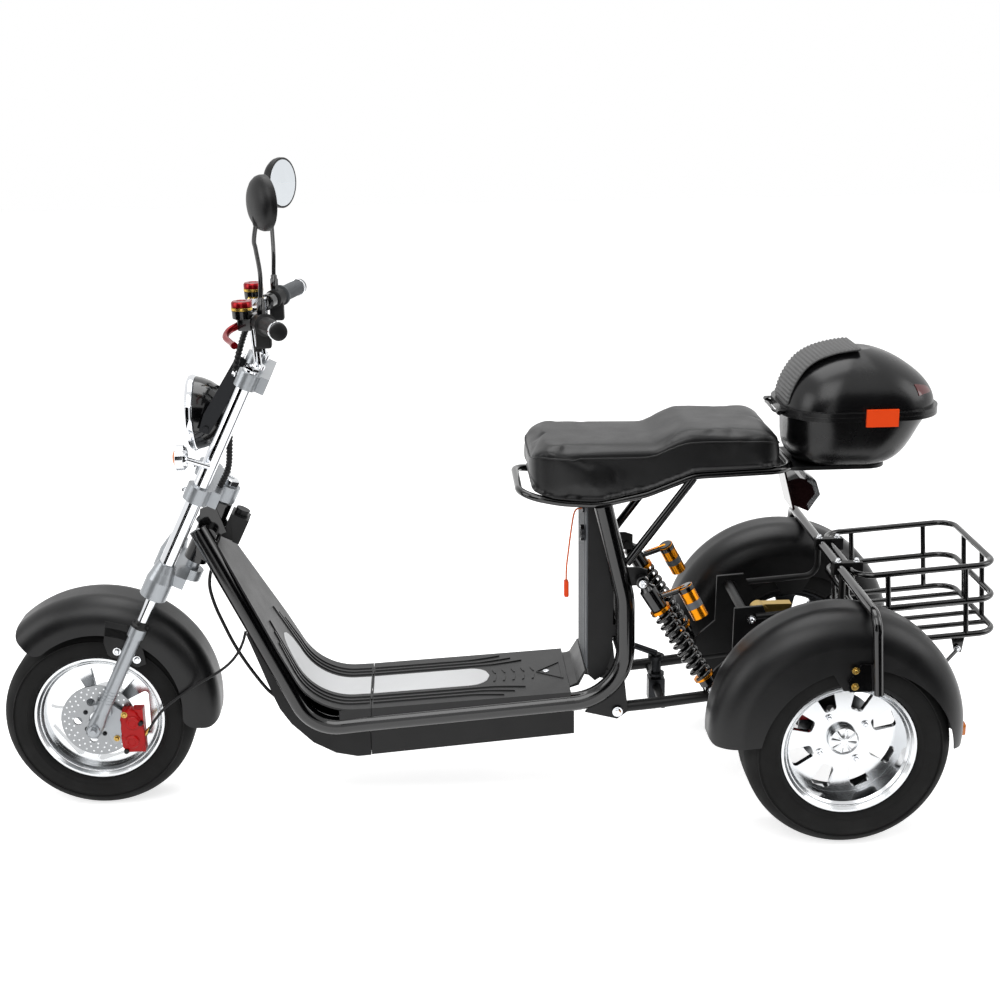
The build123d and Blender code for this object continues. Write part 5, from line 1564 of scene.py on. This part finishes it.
@dataclass
class BackPad(Dress):
    """Ribbed rubber back pad that wraps the front of the top case's lid."""

    body: str = "case_lid"
    route: tuple = ((93, 866), (86, 893), (74, 920), (55, 946), (30, 964), (0, 975), (-30, 981),
                    (-62, 984.4))
    half: float = 61.0
    thick: float = 9.0
    pitch: float = 8.5
    groove: float = 2.4        # depth between two ribs
    fade: float = 2.5          # how far the pad's ends sink

    def build(self) -> None:
        """Makes the pad with a rib across it at every pitch."""
        line = curve_points([(x, 0, z) for x, z in self.route], 20)
        last = len(line) - 1
        rings = []
        run = 0.0
        for i, p in enumerate(line):
            ahead = (line[min(i + 1, last)] - line[max(i - 1, 0)]).normalized()
            out = Vector((ahead.z, 0, -ahead.x))
            if i:
                run += (p - line[i - 1]).length
            wave = 0.5 + 0.5 * math.cos(2 * math.pi * run / self.pitch)
            end = min(1.0, min(i, last - i) / 4)
            top = -self.groove * (1 - wave) - self.fade * (1 - end)
            h = self.half - 5 * (1 - end) ** 2
            low = -self.thick
            section = ((-h + 5, low), (h - 5, low), (h - 1, low + 2), (h, -5),
                       (h - 1.5, top - 1.5), (h - 6, top), (-h + 6, top), (-h + 1.5, top - 1.5),
                       (-h, -5), (-h + 1, low + 2))
            rings.append([p + out * s + Vector((0, y, 0)) for y, s in section])
        pad = self.add(Shape().skin(rings), "lid_back_pad", PAD_GREY, "grey_plastic", 50)
        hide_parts("case_pad")


# ---------------------------------------------------------------- rear end
@dataclass
class RearDress(Dress):
    """Shocks, reservoirs, lamp lens, reflectors, case fittings and bolts at the back."""

    low: tuple = (250, 150, 276)       # lower eye of the left shock
    high: tuple = (398, 136, 514)      # its upper eye
    turns: int = 10
    coil_r: float = 19.0
    wire_r: float = 4.2
    reservoir: Reservoir = Reservoir()
    lamp_middle: tuple = (20, 0, 664)
    lens_section: tuple = ((30, 700.5), (13.5, 690.6), (4.4, 662), (28, 625.4), (34, 640),
                           (16, 663), (22, 684), (36, 696))

    def build(self) -> None:
        """Makes all pieces."""
        bodies = [self._shock(side, word) for side, word in SIDES]
        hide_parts("shocks")
        self._bolts()
        self._lamp()
        self._case()

    def _shock(self, side: int, word: str) -> bpy.types.Object:
        """Body, coil, seats and reservoir of one shock.

        Args:
            side: 1 for the rider's left, -1 for the right.
            word: the same side in the pieces' names.

        Returns:
            The body's piece.
        """
        low, high = (Vector((x, side * y, z)) for x, y, z in (self.low, self.high))
        axis = (high - low).normalized()
        length = (high - low).length
        body = Shape().lathe(low, axis, [
            (10, 8), (12, 17), (26, 17), (28, 11), (length - 70, 11), (length - 68, 18),
            (length - 22, 18), (length - 18, 14), (length - 8, 9)], 32)
        for end in (low, high):
            body.ring(end + Vector((0, -side * 12, 0)), (0, side, 0),
                      [(0, 7), (0, 13.5), (24, 13.5), (24, 7)], 32)
        body = self.add(body, f"shock_body_{word}", GLOSS_BLACK, "black_paint")
        across = axis.orthogonal().normalized()
        up = axis.cross(across)
        coil = []
        for k in range(self.turns * 20 + 1):
            a = 2 * math.pi * k / 20
            h = 34 + (length - 34 - 76) * k / (self.turns * 20)
            coil.append(low + axis * h + (across * math.cos(a) + up * math.sin(a)) * self.coil_r)
        self.add(Shape().tube(coil, self.wire_r, 8), f"shock_coil_{word}", GLOSS_BLACK,
                 "black_paint", 60)
        preload = Shape().lathe(low + axis * (length - 78), axis,
                                [(0, 14), (1, 22.5), (8, 22.5), (9, 14)], 32)
        self.add(preload, f"shock_preload_ring_{word}", ORANGE_METAL, "orange_anodised")
        seat = Shape().lathe(low + axis * 27, axis, [(0, 12), (1, 22), (6, 22), (7, 12)], 32)
        self.add(seat, f"shock_lower_seat_{word}", ORANGE_METAL, "orange_anodised")
        self._reservoir(side, word)
        return body

    def _reservoir(self, side: int, word: str) -> None:
        """Upper cap and blank grey band of one gas reservoir.

        Args:
            side: 1 for the rider's left, -1 for the right.
            word: the same side in the pieces' names.
        """
        foot, top = (Vector((x, side * y, z)) for x, y, z in (self.reservoir.foot,
                                                              self.reservoir.top))
        axis = (top - foot).normalized()
        length = (top - foot).length
        cap = Shape().lathe(foot, axis, [(length - 12, 17.2), (length - 10, 17.7),
                                         (length - 2, 17.7), (length + 2, 14), (length + 2, 4)],
                            32)
        self.add(cap, f"reservoir_caps_{word}", GLOSS_BLACK, "black_paint")
        band = Shape().ring(foot + axis * 24, axis, [(0, 17.1), (0, 17.4), (15, 17.4), (15, 17.1)],
                            36)
        self.add(band, f"reservoir_band_{word}", PANEL_GREY, "grey_plastic")

    def _bolts(self) -> None:
        """Bolts that show from the sides, and the basket's stay."""
        silver, gold = Shape(), Shape()
        for side in (1, -1):
            for (x, y, z), size, tall in (((447, 134, 219), 13, 8), ((398, 154, 514), 10, 6),
                                          ((250, 168, 276), 11, 7), ((161, 118, 414), 10, 6)):
                silver.bolt((x, side * y, z), (0, side, 0), size, tall)
            for z in (398, 364):
                gold.bolt((4, side * 374, z), (0, side, 0), 9, 6)
            for x in (-68, -28):
                silver.bolt((x, side * 83, 525.2), Z, 8, 7)
            for x, z in ((920, 184), (780, 195), (650, 204)):
                gold.bolt((x, side * 94.7, z), (0, side, 0), 6, 3)
        hook = Shape().plate([(0, 36), (30, 40), (24, 0), (9, 0)], (-262, 146, 336), (-1, 0, 0), Z,
                             -4, 0.8)
        hook.tube([(-275, 152, 345), (-236, 180, 322), (-195, 208, 300)], 4.0, 12)
        self.add(hook, "basket_stay", GLOSS_BLACK, "black_paint")
        silver.bolt((-275, 152, 347), Y, 8, 6)
        self.add(silver, "frame_bolts", CHROME, "steel")
        self.add(gold, "zinc_bolts", ZINC, "zinc")

    def _lamp(self) -> None:
        """Clear cover of the rear lamp, and the amber reflectors on the rear guards."""
        middle = Vector(self.lamp_middle)
        rings = [[middle + (Vector((x, 0, z)) - middle) * k + Vector((0, y, 0))
                  for x, z in self.lens_section]
                 for y, k in ((-36.5, 0.9), (-33, 1.0), (33, 1.0), (36.5, 0.9))]
        self.add(Shape().skin(rings), "rear_lamp_lens", LENS, "lens")
        for side, word in SIDES:
            plate = Shape().plate([(-15, -11), (15, -11), (15, 11), (-15, 11)],
                                  (-251.2, side * 285, 228), Y, Z, -1.4, 0.5)
            self.add(plate, f"rear_reflector_{word}", AMBER, "lens")

    def _case(self) -> None:
        """Hinge bow and side reflectors of the top case."""
        bow = curve_points([(100, 40, 846), (112, 40, 850), (113, 20, 852), (113, -20, 852),
                            (112, -40, 850), (100, -40, 846)], 6)
        self.add(Shape().tube(bow, 3.2, 10), "case_hinge_bow", GLOSS_BLACK, "black_paint")
        tree = nearest(self.trike.nodes["case_lid"].data)
        for side, word in SIDES:
            rows = []
            for k in range(9):
                share = k / 8
                x, y = -172 - 42 * share, side * (112 - 30 * share)
                low, high = 890 + 5 * share, 924 - 10 * share
                rows.append([self._on(tree, Vector((x, y, low + (high - low) * j / 6)))
                             for j in range(7)])
            rings = [[p + n * 1.4 for p, n in row] + [p - n * 1.5 for p, n in row[::-1]]
                     for row in rows]
            self.add(Shape().skin(rings), f"case_reflector_{word}", DARK_RED, "grey_plastic", 60,
                     body="case_lid")

    def _on(self, tree: BVHTree, place: Vector) -> tuple:
        """Nearest place on a surface.

        Args:
            tree: search tree of the surface.
            place: a place outside it, mm.

        Returns:
            The place on the surface in millimetres, and its outward direction.
        """
        zero = self.trike.at(0, 0, 0)
        found, normal, _, _ = tree.find_nearest(zero + place * MM)
        spot = (found - zero) / MM
        return spot, (-normal if normal.dot(place - spot) < 0 else normal)


# ---------------------------------------------------------------- cables and key cord
@dataclass
class Cables(Dress):
    """Corrugated conduit, thin lower cable and the front brake hose."""

    upper: tuple = ((1192, 32, 1058.5), (1205, 36, 1030), (1220, 42, 982), (1234, 48, 920),
                    (1241, 52, 860), (1245, 50, 805), (1251, 46, 757.5), (1270.4, 44, 717.4))
    lower: tuple = ((1290, 36, 563.4), (1297, 36, 545), (1305, 36, 520), (1307, 36, 490),
                    (1298, 36, 450), (1283, 36, 409), (1267, 36, 370), (1249, 36, 334),
                    (1226, 36, 295), (1200, 36, 257), (1180, 36, 236))
    hose: tuple = ((1460.4, 72, 173), (1451, 73, 188), (1438, 76, 209), (1416, 80, 236),
                   (1381, 87, 266), (1338, 91, 296), (1301, 92, 317), (1270, 92, 340),
                   (1250, 92, 364), (1238, 91, 388), (1231, 90, 411))
    crest: float = 6.9         # outer radius of the conduit's corrugation
    valley: float = 5.7
    cable_r: float = 3.6
    hose_r: float = 3.0

    def build(self) -> None:
        """Makes the three lines."""
        run = curve_points(self.upper, 26)
        radii = [self.crest if (k // 2) % 2 == 0 else self.valley for k in range(len(run))]
        piece = self.add(Shape().tube(run, radii, 14), "bar_conduit", BLACK_RUBBER,
                         "black_plastic", 20, body="steering")
        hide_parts("conduit_upper")
        piece = self.add(Shape().tube(curve_points(self.lower, 10), self.cable_r, 12),
                         "neck_cable", BLACK_RUBBER, "black_plastic", 60)
        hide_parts("conduit_lower")
        mesh = Shape().tube(curve_points(self.hose, 10), self.hose_r, 12).mesh(
            self.trike, "front_brake_hose", 60)
        hose = show("front_brake_hose", mesh)
        mesh.materials.append(BLACK_RUBBER.build())
        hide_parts("brake_hose")
        self.trike.at(1236, 90, 400)
        self.trike.at(1440, 76, 205)
        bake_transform(hose)


@dataclass
class KeyStrap(Dress):
    """Cord that hangs from the seat lock with its fob."""

    route: tuple = ((516.3, 654), (524, 654), (530.5, 649.5), (534, 640), (537, 622),
                    (541.5, 590), (546, 552), (550, 520), (550, 494))
    side: float = 60.0
    radius: float = 1.75
    length: float = 0.185      # m

    def build(self) -> None:
        """Makes the cord along its route."""
        trike = self.trike
        curve = bpy.data.curves.new("key_cord", "CURVE")
        curve.dimensions = "3D"
        curve.bevel_depth = self.radius * MM
        curve.bevel_resolution = 4
        curve.use_fill_caps = True
        spline = curve.splines.new("NURBS")
        spline.points.add(len(self.route) - 1)
        for point, (x, z) in zip(spline.points, self.route):
            point.co = (*trike.at(x, self.side, z), 1.0)
        spline.order_u = 3
        spline.use_endpoint_u = True
        spline.resolution_u = 12
        piece = put("key_cord", curve, STRAP_ORANGE, self.body)
        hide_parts("key_strap")
        x, z = self.route[0]
        trike.at(x, self.side, z)


# ---------------------------------------------------------------- studio
@dataclass
class Studio:
    """White room: pale floor, soft lights, dark cloths for the gloss, and the camera."""

    trike: Trike
    floor_half: float = 12.0
    cloths: tuple = ((-9.0, -0.5), (1.5, 9.0))     # fore-and-aft reach of each dark cloth, m
    # each cloth lies on the floor beside the camera, then hangs behind it: (y, z) ends, m
    cloth_falls: tuple = (((1.0, 0.01), (6.0, 0.01)), ((6.0, 0.05), (6.0, 4.4)))
    floor_glow: float = 0.7    # what the floor adds for the eye alone, so that it is white
    world_low: float = 0.3     # world's strength for every ray that the eye doesn't follow
    aim: tuple = (0, 0, 0.5)   # where the lamps look, m
    # name, place (m), size (m), watts
    lamps: tuple = (("key_softbox", (1.2, 3.6, 4.8), 3.6, 120),
                    ("front_softbox", (4.6, 1.6, 2.6), 2.6, 50),
                    ("rear_softbox", (-4.4, 1.0, 3.0), 2.6, 50),
                    ("top_softbox", (0.0, -0.9, 4.6), 3.4, 110))

    def build(self) -> None:
        """Puts up floor, world, lights and camera."""
        self._floor()
        self._world()
        for lamp in self.lamps:
            self._light(*lamp)
        self._dark_flag()
        self._camera()
        bpy.context.scene.view_settings.view_transform = "Standard"

    def _floor(self) -> None:
        """Plain pale floor that keeps the contact shadow."""
        mesh = bpy.data.meshes.new("floor")
        h = self.floor_half
        mesh.from_pydata([(-h, -h, 0), (h, -h, 0), (h, h, 0), (-h, h, 0)], [], [(0, 1, 2, 3)])
        floor = show("floor", mesh)
        material, tree, shader = surface("studio_floor", {
            "Base Color": (0.9, 0.9, 0.9, 1), "Roughness": 0.8, "Specular IOR Level": 0.2})
        glow = node(tree, "ShaderNodeEmission", Color=(1, 1, 1, 1), Strength=self.floor_glow)
        none = node(tree, "ShaderNodeEmission", Strength=0.0)
        pick = tree.nodes.new("ShaderNodeMixShader")
        both = tree.nodes.new("ShaderNodeAddShader")
        out = next(n for n in tree.nodes if n.type == "OUTPUT_MATERIAL")
        link(tree, (self._seen(tree), pick.inputs[0]), (none.outputs[0], pick.inputs[1]),
             (glow.outputs[0], pick.inputs[2]), (pick.outputs[0], both.inputs[0]),
             (shader.outputs[0], both.inputs[1]), (both.outputs[0], out.inputs["Surface"]))
        mesh.materials.append(material)

    @staticmethod
    def _seen(tree: bpy.types.NodeTree) -> bpy.types.NodeSocket:
        """Socket that is 1 for rays of the camera, of gloss and of glass.

        Args:
            tree: the node tree that it is made in.

        Returns:
            The socket.
        """
        path = tree.nodes.new("ShaderNodeLightPath")
        one = node(tree, "ShaderNodeMath", operation="MAXIMUM")
        two = node(tree, "ShaderNodeMath", operation="MAXIMUM")
        link(tree, (path.outputs["Is Camera Ray"], one.inputs[0]),
             (path.outputs["Is Glossy Ray"], one.inputs[1]), (one.outputs[0], two.inputs[0]),
             (path.outputs["Is Transmission Ray"], two.inputs[1]))
        return two.outputs[0]

    def _world(self) -> None:
        """White background for the eye, soft grey light for everything else."""
        world = bpy.data.worlds.new("studio")
        bpy.context.scene.world = world
        world.use_nodes = True
        tree = world.node_tree
        back = next(n for n in tree.nodes if n.type == "BACKGROUND")
        back.inputs["Color"].default_value = (1, 1, 1, 1)
        strength = remap(tree, self._seen(tree), (0.0, 1.0), (self.world_low, 1.0))
        link(tree, (strength, back.inputs["Strength"]))

    def _dark_flag(self) -> None:
        """Black cloths beside the camera that only gloss sees, so that it keeps its contrast."""
        mesh = bpy.data.meshes.new("dark_flag")
        places, faces = [], []
        for x0, x1 in self.cloths:
            for (y0, z0), (y1, z1) in self.cloth_falls:
                faces.append(tuple(range(len(places), len(places) + 4)))
                places += [(x0, y0, z0), (x1, y0, z0), (x1, y1, z1), (x0, y1, z1)]
        mesh.from_pydata(places, [], faces)
        flag = show("dark_flag", mesh)
        material, _, _ = surface("studio_black_cloth", {
            "Base Color": (0.004, 0.004, 0.004, 1), "Roughness": 1.0, "Specular IOR Level": 0.0})
        mesh.materials.append(material)
        flag.visible_camera = False
        flag.visible_diffuse = False
        flag.visible_shadow = False
        flag.visible_transmission = False

    def _light(self, name: str, place: tuple, size: float, watts: float) -> None:
        """One square soft light aimed at the middle of the tricycle.

        Args:
            name: its name.
            place: where it hangs, m.
            size: its side, m.
            watts: its power.
        """
        data = bpy.data.lights.new(name, "AREA")
        data.size = size
        data.energy = watts
        lamp = show(name, data)
        lamp.location = place
        ahead = Vector(self.aim) - Vector(place)
        lamp.rotation_euler = ahead.to_track_quat("-Z", "Y").to_euler()

    def _camera(self) -> None:
        """Camera at the reference angle."""
        data = bpy.data.cameras.new("camera")
        data.sensor_width = 36.0
        data.lens = CAMERA_FOCAL
        data.clip_end = 100
        camera = show("camera", data)
        pitch, yaw = math.radians(CAMERA_PITCH), math.radians(CAMERA_YAW)
        ahead = Vector((-math.sin(yaw) * math.cos(pitch), -math.cos(yaw) * math.cos(pitch),
                        -math.sin(pitch)))
        right = ahead.cross(Vector(Z)).normalized()
        turn = Matrix((right, right.cross(ahead), -ahead)).transposed()
        roll = Matrix.Rotation(math.radians(CAMERA_ROLL), 3, "Z")
        place = Matrix.Translation(self.trike.at(*CAMERA_AT))
        camera.matrix_world = place @ (turn @ roll).to_4x4()
        bpy.context.scene.camera = camera


def main() -> None:
    """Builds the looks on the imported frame."""
    logging.basicConfig(level=logging.INFO, format="%(message)s")
    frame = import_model()
    trike = Trike(frame)
    Studio(trike).build()
    dress_cad(trike)
    parts = (ForkDress, BarDress, DeckDress, SeatCushion, BackPad, RearDress, Cables, KeyStrap)
    for piece in (*wheels(trike), *(part(trike) for part in parts)):
        piece.build()
        LOG.info("%s done", type(piece).__name__)


if __name__ == "__main__":
    main()
